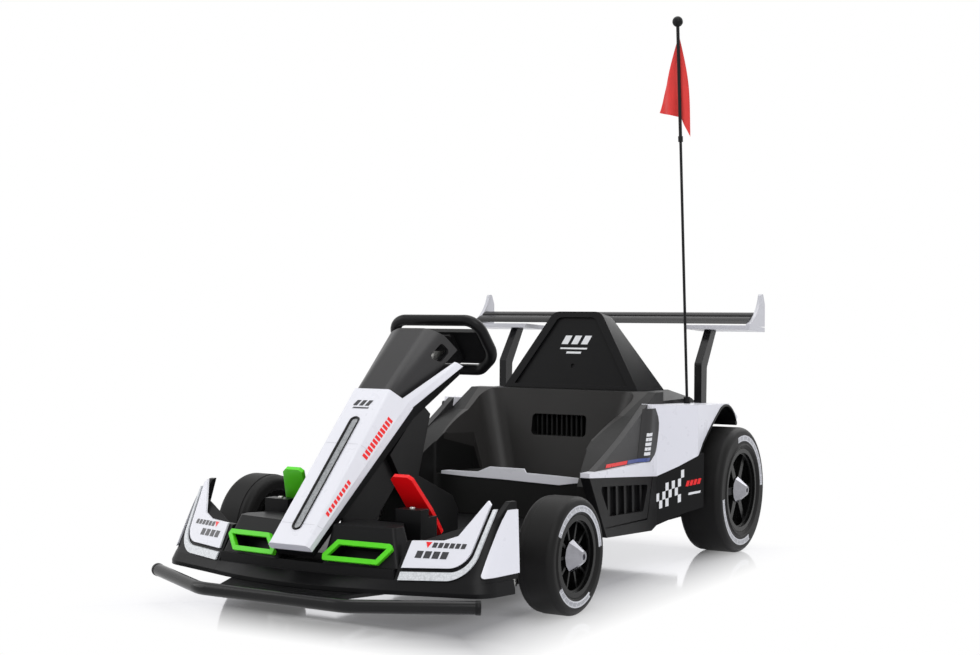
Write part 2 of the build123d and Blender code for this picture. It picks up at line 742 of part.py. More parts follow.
# Rear body: the motor bay between the rear wheels, with a wider deck above them
body_front_y = seat_shelf_y + seat_gap
with BuildPart() as rear_body:
    with BuildSketch(Plane.YZ) as core_outline:
        Polygon((body_front_y, floor_top + seat_gap), (body_front_y, deck_bottom_z),
                (tail_y, deck_bottom_z), (tail_y, floor_top + 30), (tail_y - 20, floor_top + seat_gap),
                align=None)
    extrude(amount=core_half, both=True)
    with BuildSketch(Plane.XZ.offset(-body_front_y)) as deck_section:
        Polygon((-body_half, deck_bottom_z), (body_half, deck_bottom_z),
                (body_half, seat_back_z - deck_edge_drop), (deck_flat_half, seat_back_z),
                (-deck_flat_half, seat_back_z), (-body_half, seat_back_z - deck_edge_drop), align=None)
    extrude(amount=body_front_y - tail_y)
    # The deck falls away behind the headrest.
    with BuildSketch(Plane.YZ):
        Polygon((headrest_rear_y + 24, seat_back_z + 1), (tail_y + 1, deck_rear_z),
                (tail_y + 1, seat_back_z + 1), align=None)
    extrude(amount=body_half + 1, both=True, mode=Mode.SUBTRACT)
    with Locations(Plane(origin=(0, rear_axle_y, rear_tyre_radius), z_dir=(1, 0, 0))):
        Cylinder(rear_axle_radius + seat_gap, 2 * core_half + 10, mode=Mode.SUBTRACT)
save(rear_body.part, "rear_body")

# Headrest: a tapering hump behind the seat, with a hollow front inside a thick raised edge
rest_low_z = seat_back_z + seat_gap
front_height = Vector(0, headrest_top_y - headrest_base_y, headrest_top_z - rest_low_z)
rest_front = Plane(origin=(0, headrest_base_y, rest_low_z), x_dir=(1, 0, 0),
                   z_dir=Vector(1, 0, 0).cross(front_height))
rest_span = front_height.length
with BuildPart() as headrest:
    with BuildSketch(rest_front) as rest_outline:
        Polygon((-headrest_base_half, 0), (headrest_base_half, 0), (headrest_top_half, rest_span),
                (-headrest_top_half, rest_span), align=None)
        fillet(rest_outline.vertices().sort_by(Axis.Y)[2:4], headrest_corner)
    with BuildSketch(Plane(origin=(0, headrest_rear_y, rest_low_z), x_dir=(1, 0, 0), z_dir=(0, -1, 0))) as rear_outline:
        Polygon((-headrest_rear_half, 0), (headrest_rear_half, 0),
                (headrest_top_half + 4, headrest_top_z - rest_low_z - 8),
                (-headrest_top_half - 4, headrest_top_z - rest_low_z - 8), align=None)
        fillet(rear_outline.vertices().sort_by(Axis.Y)[2:4], headrest_corner)
    loft(ruled=True)
    with BuildSketch(rest_front) as hollow_outline:
        Polygon((-headrest_base_half + 2 * headrest_rim, headrest_rim - 4),
                (headrest_base_half - 2 * headrest_rim, headrest_rim - 4),
                (headrest_top_half - headrest_rim, rest_span - headrest_rim),
                (headrest_rim - headrest_top_half, rest_span - headrest_rim), align=None)
        fillet(hollow_outline.vertices().sort_by(Axis.Y)[2:4], headrest_corner - 8)
    extrude(amount=-headrest_recess, mode=Mode.SUBTRACT)
    with BuildSketch(rest_front.offset(-headrest_recess)):
        with Locations((0, rest_span * 0.3)):
            Circle(5)
    extrude(amount=-3, mode=Mode.SUBTRACT)
save(headrest.part, "headrest")

# Black side pods: louvres in a slanted frame, a flare before the rear wheel and the arch's black lip
arch_rows = [(141, 34), (122, 30), (106, 38), (88, 44), (69, 17)]
lip_inside = [arch_point(angle, gap) for angle, gap in arch_rows]
lip_outside = [arch_point(angle, gap + lip_thickness) for angle, gap in arch_rows]
pod_outer_x = body_half + panel_front_depth
lip_root = (pod_rear_y - 8, pod_top_z + 19.2)
pod_kink_y = pod_rear_y - 57
with BuildPart() as side_pods:
    with BuildSketch(Plane.XY.offset(pod_bottom_z - 12)) as pod_plan:
        Polygon((panel_inner_x, pod_front_y - 7), (pod_outer_x, pod_front_y - 7), (pod_outer_x + 5, pod_step_y),
                (body_half + pod_flare, pod_rear_y - 2), (panel_inner_x + 10, pod_rear_y - 2), align=None)
    extrude(amount=180)
    with BuildSketch(Plane.YZ.offset(panel_inner_x - 10)):
        Polygon((pod_front_y, pod_top_z), (pod_step_y, pod_top_z - 22), (pod_kink_y, pod_top_z - 4),
                (pod_rear_y, pod_top_z + 23), (pod_rear_y, pod_bottom_z + 40),
                (pod_rear_y - 43, pod_bottom_z + 30), (rocker_step_y, pod_bottom_z),
                (pod_foot_y, pod_bottom_z + 10), align=None)
    extrude(amount=150, mode=Mode.INTERSECT)
    # The louvres: a pocket with upright slats left standing in it
    with BuildSketch(Plane.YZ.offset(pod_outer_x - louvre_depth)) as louvre_outline:
        Polygon((louvre_front_y, pod_top_z - 20), (louvre_rear_y, pod_top_z - 35),
                (louvre_rear_y - 22, pod_bottom_z + 44), (louvre_front_y + 42, pod_bottom_z + 50), align=None)
        fillet(louvre_outline.vertices(), 6)
    extrude(amount=60, mode=Mode.SUBTRACT)
    with BuildSketch(Plane.YZ.offset(pod_outer_x - louvre_depth - 1)):
        for k in range(louvre_count):
            at = louvre_front_y + 42 + k * louvre_pitch
            slat_top_z = pod_top_z - 17 - 0.07 * (at - louvre_front_y)
            Polygon((at - 4, slat_top_z), (at - 4 + louvre_width, slat_top_z),
                    (at + louvre_width, pod_bottom_z + 40), (at, pod_bottom_z + 40), align=None)
    extrude(amount=louvre_depth - 1)
    # A groove parts the louvre frame from the flare, and another marks the rocker
    with BuildSketch(Plane.YZ.offset(pod_outer_x - 1.5)):
        Polygon((rocker_step_y, pod_top_z - 22), (rocker_step_y + 3, pod_top_z - 22),
                (rocker_step_y - 19, pod_bottom_z + 26), (rocker_step_y - 22, pod_bottom_z + 26), align=None)
        Polygon((pod_foot_y - 4, pod_bottom_z + 28), (pod_foot_y - 4, pod_bottom_z + 31),
                (rocker_step_y - 20, pod_bottom_z + 28), (rocker_step_y - 20, pod_bottom_z + 25), align=None)
    extrude(amount=8, mode=Mode.SUBTRACT)
    with BuildSketch(Plane.YZ.offset(panel_inner_x)):
        with BuildLine():
            Polyline(lip_inside[0], (lip_root[0], lip_root[1] - lip_thickness), lip_root, lip_outside[0])
            ThreePointArc(*lip_outside[0:3])
            ThreePointArc(*lip_outside[2:5])
            Line(lip_outside[4], lip_inside[4])
            ThreePointArc(*reversed(lip_inside[2:5]))
            ThreePointArc(*reversed(lip_inside[0:3]))
        make_face()
        with Locations(arch_point(arch_rows[4][0], arch_rows[4][1] - 1.5)):
            Circle(lip_roll_radius)
    extrude(amount=fender_outer_x + 1.5 - panel_inner_x)
    mirror(about=Plane.YZ)
save(side_pods.part, "side_pods")

# White side panels over the pods and the rear wheels
skin_rows = [arch_point(angle, gap + lip_thickness + seat_gap) for angle, gap in arch_rows]
insert_rise_y = pod_step_y - 23
insert_foot_y = pod_step_y - 50
insert_front_y = pod_front_y + 33
ridge_rear_y = rear_axle_y + 12
skin_end = (rear_axle_y + 65, skin_rows[4][1] + 8)
with BuildPart() as side_panels:
    with BuildSketch(Plane.YZ.offset(panel_inner_x)):
        with BuildLine():
            Polyline((ridge_rear_y, ridge_z - 2), (ridge_front_y, ridge_z + 5), (insert_rise_y, ridge_z + 8),
                     (insert_foot_y, pod_top_z + 11), (pod_front_y, pod_top_z + 9),
                     (pod_front_y, pod_top_z + seat_gap), (pod_step_y, pod_top_z - 22 + seat_gap),
                     (pod_kink_y, pod_top_z - 4 + seat_gap), (lip_root[0] - 2 * seat_gap, lip_root[1] + seat_gap),
                     skin_rows[0])
            ThreePointArc(*skin_rows[0:3])
            ThreePointArc(*skin_rows[2:5])
            Polyline(skin_rows[4], skin_end, (ridge_rear_y, ridge_z - 2))
        make_face()
    extrude(amount=150)
    with BuildSketch(Plane.XY.offset(pod_top_z - 50)):
        Polygon((panel_inner_x, pod_front_y - 7), (pod_outer_x, pod_front_y - 7), (pod_outer_x + 5, pod_step_y),
                (fender_outer_x, pod_rear_y - 16), (fender_outer_x, skin_end[0] + 2),
                (panel_inner_x, skin_end[0] + 2), align=None)
    extrude(amount=ridge_z, mode=Mode.INTERSECT)
    mirror(about=Plane.YZ)
save(side_panels.part, "side_panels")

with BuildPart() as side_inserts:
    with BuildSketch(Plane.YZ.offset(panel_inner_x)):
        with BuildLine():
            Line((insert_front_y, pod_top_z + 9 + seat_gap), (insert_foot_y - 1, pod_top_z + 11 + seat_gap))
            Line((insert_foot_y - 1, pod_top_z + 11 + seat_gap), (insert_rise_y - 1, ridge_z + 7))
            Line((insert_rise_y - 1, ridge_z + 7), (insert_rise_y - 22, ridge_z - 4))
            ThreePointArc((insert_rise_y - 22, ridge_z - 4),
                          ((insert_rise_y + insert_front_y) / 2 - 15, (ridge_z + pod_top_z) / 2 - 5),
                          (insert_front_y, pod_top_z + 9 + seat_gap))
        make_face()
    extrude(amount=14)
    mirror(about=Plane.YZ)
save(side_inserts.part, "side_inserts")

# Nose cowl: a long sloping channel with two horns that flank the dash
nose_rear_outline = [(-nose_rear_half, 0), (nose_rear_half, 0), (nose_edge_half, nose_edge_depth),
                     (nose_skirt_half, nose_skirt_depth), (-nose_skirt_half, nose_skirt_depth),
                     (-nose_edge_half, nose_edge_depth)]
light_middle = slope_plane((light_start + light_end) / 2)
light_plane = Plane(origin=light_middle.origin, x_dir=light_middle.z_dir, z_dir=light_middle.y_dir)
with BuildPart() as nose_cowl:
    with BuildSketch(slope_plane(0)) as tip_outline:
        Polygon((-nose_tip_half, 0), (nose_tip_half, 0), (nose_tip_half + 6, 6),
                (nose_tip_half + 6, nose_tip_depth), (-nose_tip_half - 6, nose_tip_depth),
                (-nose_tip_half - 6, 6), align=None)
        fillet(tip_outline.vertices().sort_by(Axis.Y)[0:2], 4)
    with BuildSketch(slope_plane(nose_length)) as rear_outline:
        Polygon(*nose_rear_outline, align=None)
        fillet(rear_outline.vertices().sort_by(Axis.Y)[0:2], 8)
    loft(ruled=True)
    with BuildSketch(slope_plane(nose_wall)):
        Polygon((-34, nose_wall), (34, nose_wall), (38, 8), (38, nose_tip_depth + 1),
                (-38, nose_tip_depth + 1), (-38, 8), align=None)
    with BuildSketch(slope_plane(nose_length + 1)):
        Polygon((2 - nose_rear_half, nose_wall), (nose_rear_half - 2, nose_wall),
                (nose_edge_half - 5, nose_edge_depth), (nose_skirt_half - 6, nose_skirt_depth + 1),
                (6 - nose_skirt_half, nose_skirt_depth + 1), (5 - nose_edge_half, nose_edge_depth),
                align=None)
    loft(ruled=True, mode=Mode.SUBTRACT)
    with BuildSketch(slope_plane(nose_length - 6)):
        Polygon((nose_edge_half - 10, nose_edge_depth - 12), (nose_edge_half - 2.5, nose_edge_depth - 1),
                (nose_skirt_half - 2.5, nose_skirt_depth - 2.5), (nose_skirt_half - 9, nose_skirt_depth - 2.5),
                align=None)
    with BuildSketch(slope_plane(nose_length + horn_reach)):
        Polygon((80, 72), (85, 74), (93, 84), (86, 86), align=None)
    horn = loft(ruled=True)
    add(mirror(horn, about=Plane.YZ, mode=Mode.PRIVATE))
    # A slot for the light, with a low rim round it
    with BuildSketch(light_plane.offset(-light_rim_height)):
        SlotOverall(light_end - light_start + 2 * light_rim, light_width + 2 * light_rim)
    extrude(amount=light_rim_height + 2)
    with BuildSketch(light_plane.offset(-light_rim_height)):
        SlotOverall(light_end - light_start, light_width)
    extrude(amount=10, mode=Mode.SUBTRACT)
save(nose_cowl.part, "nose_cowl")

with BuildPart() as nose_light:
    with BuildSketch(light_plane.offset(0.6)):
        SlotOverall(light_end - light_start - 2 * seat_gap, light_width - 2 * seat_gap)
    extrude(amount=6 - seat_gap)
save(nose_light.part, "nose_light")

# Dash cover: a dark hood between the horns, hollow and open underneath, with a window in each side
with BuildPart() as dash_cover:
    with BuildSketch(slope_plane(nose_length + seat_gap)) as low_hood:
        Polygon((-dash_top_half, 0), (dash_top_half, 0), (42, 12), (47, nose_skirt_depth - 1),
                (-47, nose_skirt_depth - 1), (-42, 12), align=None)
        fillet(low_hood.vertices().sort_by(Axis.Y)[0:4], 18)
    with BuildSketch(slope_plane(dash_end)) as high_hood:
        Polygon((-dash_top_half, dash_drop), (dash_top_half, dash_drop), (dash_side_half, dash_drop + 15),
                (dash_skirt_half, dash_drop + 57), (-dash_skirt_half, dash_drop + 57),
                (-dash_side_half, dash_drop + 15), align=None)
        fillet(high_hood.vertices().sort_by(Axis.Y)[0:4], 36)
    loft(ruled=True)
    with BuildSketch(slope_plane(nose_length - 1)) as low_hollow:
        Polygon((3 - dash_top_half, dash_wall), (dash_top_half - 3, dash_wall), (38, 15),
                (43, nose_skirt_depth), (-43, nose_skirt_depth), (-38, 15), align=None)
        fillet(low_hollow.vertices().sort_by(Axis.Y)[0:4], 14)
    with BuildSketch(slope_plane(dash_end - dash_wall)) as high_hollow:
        Polygon((3 - dash_top_half, dash_drop + dash_wall), (dash_top_half - 3, dash_drop + dash_wall),
                (dash_side_half - 4, dash_drop + 18), (dash_skirt_half - 4, dash_drop + 58),
                (4 - dash_skirt_half, dash_drop + 58), (4 - dash_side_half, dash_drop + 18), align=None)
        fillet(high_hollow.vertices().sort_by(Axis.Y)[0:4], 32)
    loft(ruled=True, mode=Mode.SUBTRACT)
    with BuildSketch(Plane.YZ.offset(-dash_skirt_half - 20)) as window_outline:
        Polygon(slope_point(dash_end - 62, dash_drop + 14), slope_point(dash_end - 16, dash_drop + 22),
                slope_point(dash_end - 14, dash_drop + 46), slope_point(dash_end - 44, dash_drop + 42),
                align=None)
        fillet(window_outline.vertices(), 7)
    extrude(amount=2 * dash_skirt_half + 40, mode=Mode.SUBTRACT)
save(dash_cover.part, "dash_cover")

# Wing: two black blades, white end plates with a shelf, and two bent struts
low_z = wing_line_z
with BuildPart() as wing_blades:
    with BuildSketch(Plane(origin=(0, wing_front_y, low_z), x_dir=(0, 1, 0), z_dir=(1, 0, 0))):
        with BuildLine():
            ThreePointArc((2, -13), (21, -1), (47, 4))
            Line((47, 4), (47, 2))
            ThreePointArc((47, 2), (25, -8), (2, -13))
        make_face()
        with BuildLine():
            ThreePointArc((39, 5.5), (51, 11), (66, 12))
            Line((66, 12), (66, 10))
            ThreePointArc((66, 10), (53, 5), (39, 3.5))
            Line((39, 3.5), (39, 5.5))
        make_face()
    extrude(amount=wing_half - 4, both=True)
save(wing_blades.part, "wing_blades")

endplate_x = wing_half - 4 + seat_gap
with BuildPart() as wing_endplates:
    with BuildSketch(Plane.YZ.offset(endplate_x)):
        with BuildLine():
            Line((wing_front_y, low_z - 19), (wing_front_y, low_z - 13))
            ThreePointArc((wing_front_y, low_z - 13), (wing_rear_y - 47, low_z + 12), (wing_rear_y - 24, low_z + 46))
            ThreePointArc((wing_rear_y - 24, low_z + 46), (wing_rear_y - 17, low_z + 53),
                          (wing_rear_y - 9, low_z + 48))
            Polyline((wing_rear_y - 9, low_z + 48), (wing_rear_y, low_z + 30), (wing_rear_y, low_z - 19),
                     (wing_front_y, low_z - 19))
        make_face()
    extrude(amount=wing_plate)
    with BuildSketch(Plane.YZ.offset(shelf_inner_x)):
        Polygon((wing_front_y, low_z - 25), (wing_rear_y, low_z - 31), (wing_rear_y, low_z - 21),
                (wing_rear_y - 37, low_z - 19), (wing_front_y, low_z - 16), align=None)
    extrude(amount=endplate_x + wing_plate - shelf_inner_x)
    mirror(about=Plane.YZ)
save(wing_endplates.part, "wing_endplates")


def ridge_top(y):
    """The height just above the white panel's ridge at a place along the kart."""
    return ridge_z - 2 + 7 * (ridge_rear_y - y) / (ridge_rear_y - ridge_front_y) + seat_gap


def shelf_under(y):
    """The height just below the wing's shelf at a place along the kart."""
    return low_z - 25 - 6 * (y - wing_front_y) / (wing_rear_y - wing_front_y) - seat_gap


strut_x = body_half + strut_inset
strut_rows = [strut_foot_y + reach for reach in (0, 29, 31, 84, 56)]
with BuildPart() as wing_struts:
    with BuildSketch(Plane.YZ.offset(strut_x - strut_width / 2)) as strut_outline:
        Polygon((strut_rows[0], ridge_top(strut_rows[0])), (strut_rows[1], ridge_top(strut_rows[1])),
                (strut_rows[2], strut_bend_z - 4), (strut_rows[3], shelf_under(strut_rows[3])),
                (strut_rows[4], shelf_under(strut_rows[4])), (strut_rows[0], strut_bend_z + 4), align=None)
        fillet(strut_outline.vertices().sort_by(Axis.Y)[2:4], 8)
    extrude(amount=strut_width)
    mirror(about=Plane.YZ)
save(wing_struts.part, "wing_struts")

# Flag mast: a thin rod, thicker above its collar, with a ball on top
mast_foot = Vector(body_half + mast_inset, mast_y, ridge_top(mast_y))
mast_tip = Vector(*mast_top)
mast_line = mast_tip - mast_foot
mast_plane = Plane(origin=mast_foot, x_dir=(0, 1, 0), z_dir=mast_line)
collar_at = mast_line.length * (mast_collar_z - mast_foot.Z) / mast_line.Z
with BuildPart() as flag_mast:
    with BuildSketch(mast_plane):
        Circle(mast_radius)
    extrude(amount=mast_line.length)
    with BuildSketch(mast_plane.offset(collar_at)):
        Circle(mast_upper_radius)
    extrude(amount=mast_line.length - collar_at)
    with BuildSketch(mast_plane.offset(collar_at - 6)):
        Circle(mast_upper_radius + 1.6)
    extrude(amount=12)
    with BuildSketch(mast_plane):
        Circle(mast_socket_radius)
    extrude(amount=mast_socket_height)
    with Locations(mast_tip):
        Sphere(mast_ball_radius)
save(flag_mast.part, "flag_mast")

# Flag: a hanging triangle with a sleeve for the mast
with BuildPart() as flag:
    with BuildSketch(Plane.XZ.offset(-mast_foot.Y)):
        Polygon((mast_tip.X - 5, flag_top_z), (mast_tip.X + 6, flag_top_z),
                (mast_foot.X, flag_fly_z - flag_drop), (mast_foot.X - 14, flag_fly_z - 21),
                (flag_fly_x, flag_fly_z), align=None)
    extrude(amount=flag_half_thickness, both=True)
    with BuildSketch(mast_plane.offset(100)):
        Circle(mast_upper_radius + seat_gap)
    extrude(amount=mast_line.length, mode=Mode.SUBTRACT)
save(flag.part, "flag")

# Bumper bar: a bent steel tube across the front, on a plate under the bumper
with BuildPart() as bumper_bar:
    with BuildLine() as bar_path:
        FilletPolyline((-bar_end_x, bar_end_y, bar_z), (-bar_bend_x, bar_centre_y, bar_z),
                       (bar_bend_x, bar_centre_y, bar_z), (bar_end_x, bar_end_y, bar_z),
                       radius=bar_bend_radius)
    with BuildSketch(Plane(origin=bar_path.line @ 0, z_dir=bar_path.line % 0)):
        Circle(bar_radius)
    sweep(path=bar_path.line)
    with BuildSketch(Plane.XY.offset(lip_bottom_z - seat_gap - bar_plate)):
        Polygon((-112, bar_centre_y + 8), (112, bar_centre_y + 8), (150, bar_end_y),
                (150, floor_front_y + 20), (-150, floor_front_y + 20), (-150, bar_end_y), align=None)
        with Locations((58, -573), (-58, -573), (120, -560), (-120, -560)):
            Circle(2.5, mode=Mode.SUBTRACT)
    extrude(amount=bar_plate)
save(bumper_bar.part, "bumper_bar")


def corner_line(points, distance):
    """Three points of a bent line moved outwards by a distance, with the bend kept."""
    first = Vector(*points[1]) - Vector(*points[0])
    second = Vector(*points[2]) - Vector(*points[1])
    out_first = Vector(first.Y, -first.X).normalized()
    out_second = Vector(second.Y, -second.X).normalized()
    out_bend = (out_first + out_second) / (1 + out_first.dot(out_second))
    return [
        (point[0] + distance * out.X, point[1] + distance * out.Y)
        for point, out in zip(points, (out_first, out_bend, out_second))
    ]


# The corner wall's outer line, low and high: three points each, from the pods round to the wheels
corner_low = [(180, -572), (bumper_half - 12, -532), (bumper_half + 4, -452)]
corner_high = [(180, -492), (bumper_half - 26, -462), (bumper_half - 14, -427)]


def corner_band(inner, outer):
    """The left corner wall between two distances from its outer line, leaning back as it rises."""
    band = []
    for points, z, turn in ((corner_low, corner_low_z, corner_round),
                            (corner_high, corner_high_z, corner_round * 0.35)):
        outside = corner_line(points, outer)
        inside = corner_line(points, inner)
        face = Polygon(*outside, *reversed(inside), align=None)
        bends = [
            (face.vertices().sort_by_distance((*outside[1], 0))[0], turn + outer),
            (face.vertices().sort_by_distance((*inside[1], 0))[0], turn + inner),
        ]
        for corner_vertex, turn_radius in bends:
            face = fillet(face.vertices().sort_by_distance(corner_vertex)[0], turn_radius)
        band.append(Plane.XY.offset(z) * face)
    return loft(band, ruled=True)


front_view = Plane(origin=(0, -300, 0), x_dir=(1, 0, 0), z_dir=(0, -1, 0))
side_view = Plane.YZ.offset(150)
edge_x = bumper_half
corner_rows = [
    # name, skin thickness, view, outline in that view, rounded corners by their place and radius
    ("corner_panels", 5.0, front_view,
     [(187, 107), (edge_x - 47, 110), (edge_x - 35, 205), (edge_x - 41, 211),
      (edge_x - 72, 157), (edge_x - 94, 149), (190, 147)], [(1, 30), (5, 14)]),
    ("corner_lamps", 4.0, front_view,
     [(187, 89), (edge_x - 36, 92), (edge_x - 25, 198), (edge_x - 30, 198), (edge_x - 42, 104), (187, 101)],
     [(1, 42), (4, 33)]),
    ("corner_sides", 4.0, front_view,
     [(edge_x - 21, 95), (edge_x + 16, 98), (edge_x + 16, 194), (edge_x - 15, 196), (edge_x - 20, 120)],
     [(0, 6)]),
]

# Front bumper: a curved lip with two pods on top that hold the vents
wall_trim = side_view * Polygon((-620, 80), (-620, 140), (-520, 146), (-440, 208), (-425, 208),
                                (-425, 180), (-448, 80), align=None)
corner_wall = corner_band(-wall_thickness, 0) & extrude(wall_trim, amount=250, dir=(1, 0, 0))
pod_top = lip_top_z + pod_height
pod_low_points = [(44, -478), (150, -478), (184, -520), (180, -562), (44, -585)]
pod_high_points = [(48, -482), (138, -482), (162, -518), (158, -542), (48, -560)]
vent_low = Vector(*pod_low_points[4], lip_top_z)
vent_low_outer = Vector(*pod_low_points[3], lip_top_z)
vent_high = Vector(*pod_high_points[4], pod_top)
vent_plane = Plane(origin=vent_low, x_dir=vent_low_outer - vent_low,
                   z_dir=(vent_low_outer - vent_low).cross(vent_high - vent_low))
vent_points = [(6, 5), (104, 3), (127, 29), (122, 38), (28, 40), (5, 15)]
lip_rows = [
    # height, middle front y, outline from the middle out to the corner
    (lip_edge_z, bumper_nose_y, [(186, -578), (bumper_half - 7, -537), (bumper_half + 9, -470)]),
    (corner_low_z, bumper_nose_y + bumper_slope, [(180, -572), (bumper_half - 12, -532), (bumper_half + 4, -466)]),
]


def lip_outline(middle_y, points):
    """The lip's outline seen from above: curved across the front, with a slim arm round each corner."""
    with BuildSketch() as outline:
        with BuildLine():
            start, bend, end = points
            ThreePointArc((-start[0], start[1]), (0, middle_y), start)
            Polyline(start, bend, end, (end[0] - 14, end[1]), (bend[0] - 14, bend[1] + 20),
                     (228, floor_front_y - 2), (floor_front_half, floor_front_y - seat_gap),
                     (-floor_front_half, floor_front_y - seat_gap), (-228, floor_front_y - 2),
                     (14 - bend[0], bend[1] + 20), (14 - end[0], end[1]), (-end[0], end[1]),
                     (-bend[0], bend[1]), (-start[0], start[1]))
        make_face()
        for mirrored in (1, -1):
            outer_corner = (mirrored * bend[0], bend[1])
            inner_corner = (mirrored * (bend[0] - 14), bend[1] + 20)
            fillet(outline.vertices().sort_by_distance(outer_corner)[0], corner_round)
            fillet(outline.vertices().sort_by_distance(inner_corner)[0], corner_round - 18)
    return outline.sketch


lip_low_face = lip_outline(lip_rows[0][1], lip_rows[0][2])
lip_high_face = lip_outline(lip_rows[1][1], lip_rows[1][2])
lip_base = extrude(Plane.XY.offset(lip_bottom_z) * lip_low_face, amount=lip_edge_z - lip_bottom_z)
lip_slope = loft([Plane.XY.offset(lip_edge_z) * lip_low_face, Plane.XY.offset(corner_low_z) * lip_high_face],
                 ruled=True)
with BuildPart() as front_bumper:
    add(lip_base)
    add(lip_slope)
    with BuildSketch(Plane.XY.offset(corner_low_z)):
        with BuildLine():
            ThreePointArc((-178, -570), (0, bumper_nose_y + bumper_slope + 2), (178, -570))
            Polyline((178, -570), (floor_front_half, floor_front_y - seat_gap),
                     (-floor_front_half, floor_front_y - seat_gap), (-178, -570))
        make_face()
    extrude(amount=lip_top_z - corner_low_z)
    with BuildSketch(Plane.XY.offset(floor_top + seat_gap)):
        Polygon((-180, -560), (-184, -520), (-150, -478), (150, -478), (184, -520), (180, -560), align=None)
    extrude(amount=lip_top_z - floor_top - seat_gap)
    with BuildSketch(Plane.XY.offset(lip_top_z)) as pod_outline:
        Polygon(*pod_low_points, align=None)
        fillet(pod_outline.vertices(), 8)
    with BuildSketch(Plane.XY.offset(pod_top)) as pod_roof:
        Polygon(*pod_high_points, align=None)
        fillet(pod_roof.vertices(), 8)
    pod = loft()
    add(mirror(pod, about=Plane.YZ, mode=Mode.PRIVATE))
    with Locations((0, -520, lip_top_z)):
        Box(96, 70, 12, align=(Align.CENTER, Align.CENTER, Align.MIN))
    # Pockets behind the vent frames
    with BuildSketch(vent_plane.offset(10)) as pocket_outline:
        Polygon(*vent_points, align=None)
        offset(amount=-vent_frame_width, mode=Mode.REPLACE)
    pocket = extrude(amount=-10 - vent_depth, mode=Mode.SUBTRACT)
    add(mirror(pocket, about=Plane.YZ, mode=Mode.PRIVATE), mode=Mode.SUBTRACT)
    add(corner_wall)
    add(mirror(corner_wall, about=Plane.YZ, mode=Mode.PRIVATE))
save(front_bumper.part, "front_bumper")

# Vent frames: open green parallelograms on the faces of the pods
with BuildPart() as vent_frames:
    with BuildSketch(vent_plane.offset(seat_gap)) as vent_outline:
        Polygon(*vent_points, align=None)
        fillet(vent_outline.vertices(), 3)
        offset(amount=-vent_frame_width, mode=Mode.SUBTRACT)
    extrude(amount=vent_frame_height)
    mirror(about=Plane.YZ)
save(vent_frames.part, "vent_frames")

# Corners: white panels, lamp strips and outer side panels lie on the bumper's black corner wall
for name, skin, view_plane, points, rounded in corner_rows:
    band = corner_band(seat_gap, skin)
    with BuildPart() as corner_piece:
        add(band)
        with BuildSketch(view_plane) as corner_outline:
            Polygon(*points, align=None)
            for place, turn_radius in rounded:
                fillet(corner_outline.vertices().sort_by_distance(points[place])[0], turn_radius)
        extrude(amount=700, mode=Mode.INTERSECT)
        mirror(about=Plane.YZ)
    save(corner_piece.part, name)

# Pedals: a wide pad that narrows to a lever at its outer edge
pedal_normal = (0, -cos(radians(90 - pedal_lean - 25)), -0.52)
pedal_rows = [("brake_pedal", 1), ("accelerator_pedal", -1)]
for name, side in pedal_rows:
    pedal_plane = Plane(origin=(0, pedal_foot_y, pedal_foot_z), x_dir=(1, 0, 0), z_dir=(0, -0.854, -0.52))
    with BuildPart() as pedal:
        with BuildSketch(pedal_plane) as pad_outline:
            Polygon((side * 93, 108), (side * 99, 114), (side * 128, 114), (side * 135, 108),
                    (side * 153, 45), (side * 159, -2), (side * 147, -6), (side * 119, 44),
                    (side * 105, 50), align=None)
            fillet(pad_outline.vertices(), 2)
        extrude(amount=pedal_thickness)
    save(pedal.part, name)

# Column pylon: the black underside of the nose and the hump between the driver's feet
pylon_end = nose_length + pylon_reach
shaft_at_hump = slope_point(nose_length - 20, nose_skirt_depth + pylon_depth)
with BuildPart() as column_pylon:
    with BuildSketch(slope_plane(2)):
        Polygon((-39, nose_tip_depth + seat_gap), (39, nose_tip_depth + seat_gap), (36, 33), (-36, 33),
                align=None)
    with BuildSketch(slope_plane(nose_length)):
        Polygon((-62, nose_skirt_depth + seat_gap), (62, nose_skirt_depth + seat_gap),
                (54, nose_skirt_depth + pylon_depth), (-54, nose_skirt_depth + pylon_depth), align=None)
    loft(ruled=True)
    with BuildSketch(slope_plane(nose_length)):
        Polygon((-62, nose_skirt_depth + seat_gap), (62, nose_skirt_depth + seat_gap),
                (54, nose_skirt_depth + pylon_depth), (-54, nose_skirt_depth + pylon_depth), align=None)
    with BuildSketch(slope_plane(pylon_end)):
        Polygon((-82, 88), (82, 88), (70, 114), (-70, 114), align=None)
    loft(ruled=True)
    with BuildSketch(Plane.YZ) as hump_outline:
        Polygon(slope_point(250, 70), (hump_front_y - 32, 212), (hump_front_y, 208),
                (hump_front_y, floor_top + seat_gap), (hump_rear_y, floor_top + seat_gap),
                (hump_rear_y, 150), (hump_rear_y - 20, 176), (-300, 222), (joint_y - 12, joint_z - 54),
                (joint_y - 40, joint_z - 34), align=None)
    extrude(amount=hump_half, both=True)
    # Room for the lower shaft, and for the joint and the column above it
    with BuildSketch(shaft_plane.offset(-20)):
        Circle(drop_shaft_radius + bore_room)
    extrude(amount=shaft_length - 20, mode=Mode.SUBTRACT)
    with BuildSketch(Plane(origin=joint_point, x_dir=(1, 0, 0), z_dir=column_axis).offset(-16)):
        Circle(joint_ball_radius + bore_room)
    extrude(amount=48, mode=Mode.SUBTRACT)
    with BuildSketch(Plane(origin=joint_point, x_dir=(1, 0, 0), z_dir=column_axis)):
        Circle(column_radius + bearing_clearance)
    extrude(amount=100, mode=Mode.SUBTRACT)
save(column_pylon.part, "column_pylon")
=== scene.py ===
import json
import math

import bmesh
import bpy
from bpy.props import FloatProperty, FloatVectorProperty, PointerProperty
from mathutils import Matrix, Vector, noise
from mathutils.bvhtree import BVHTree

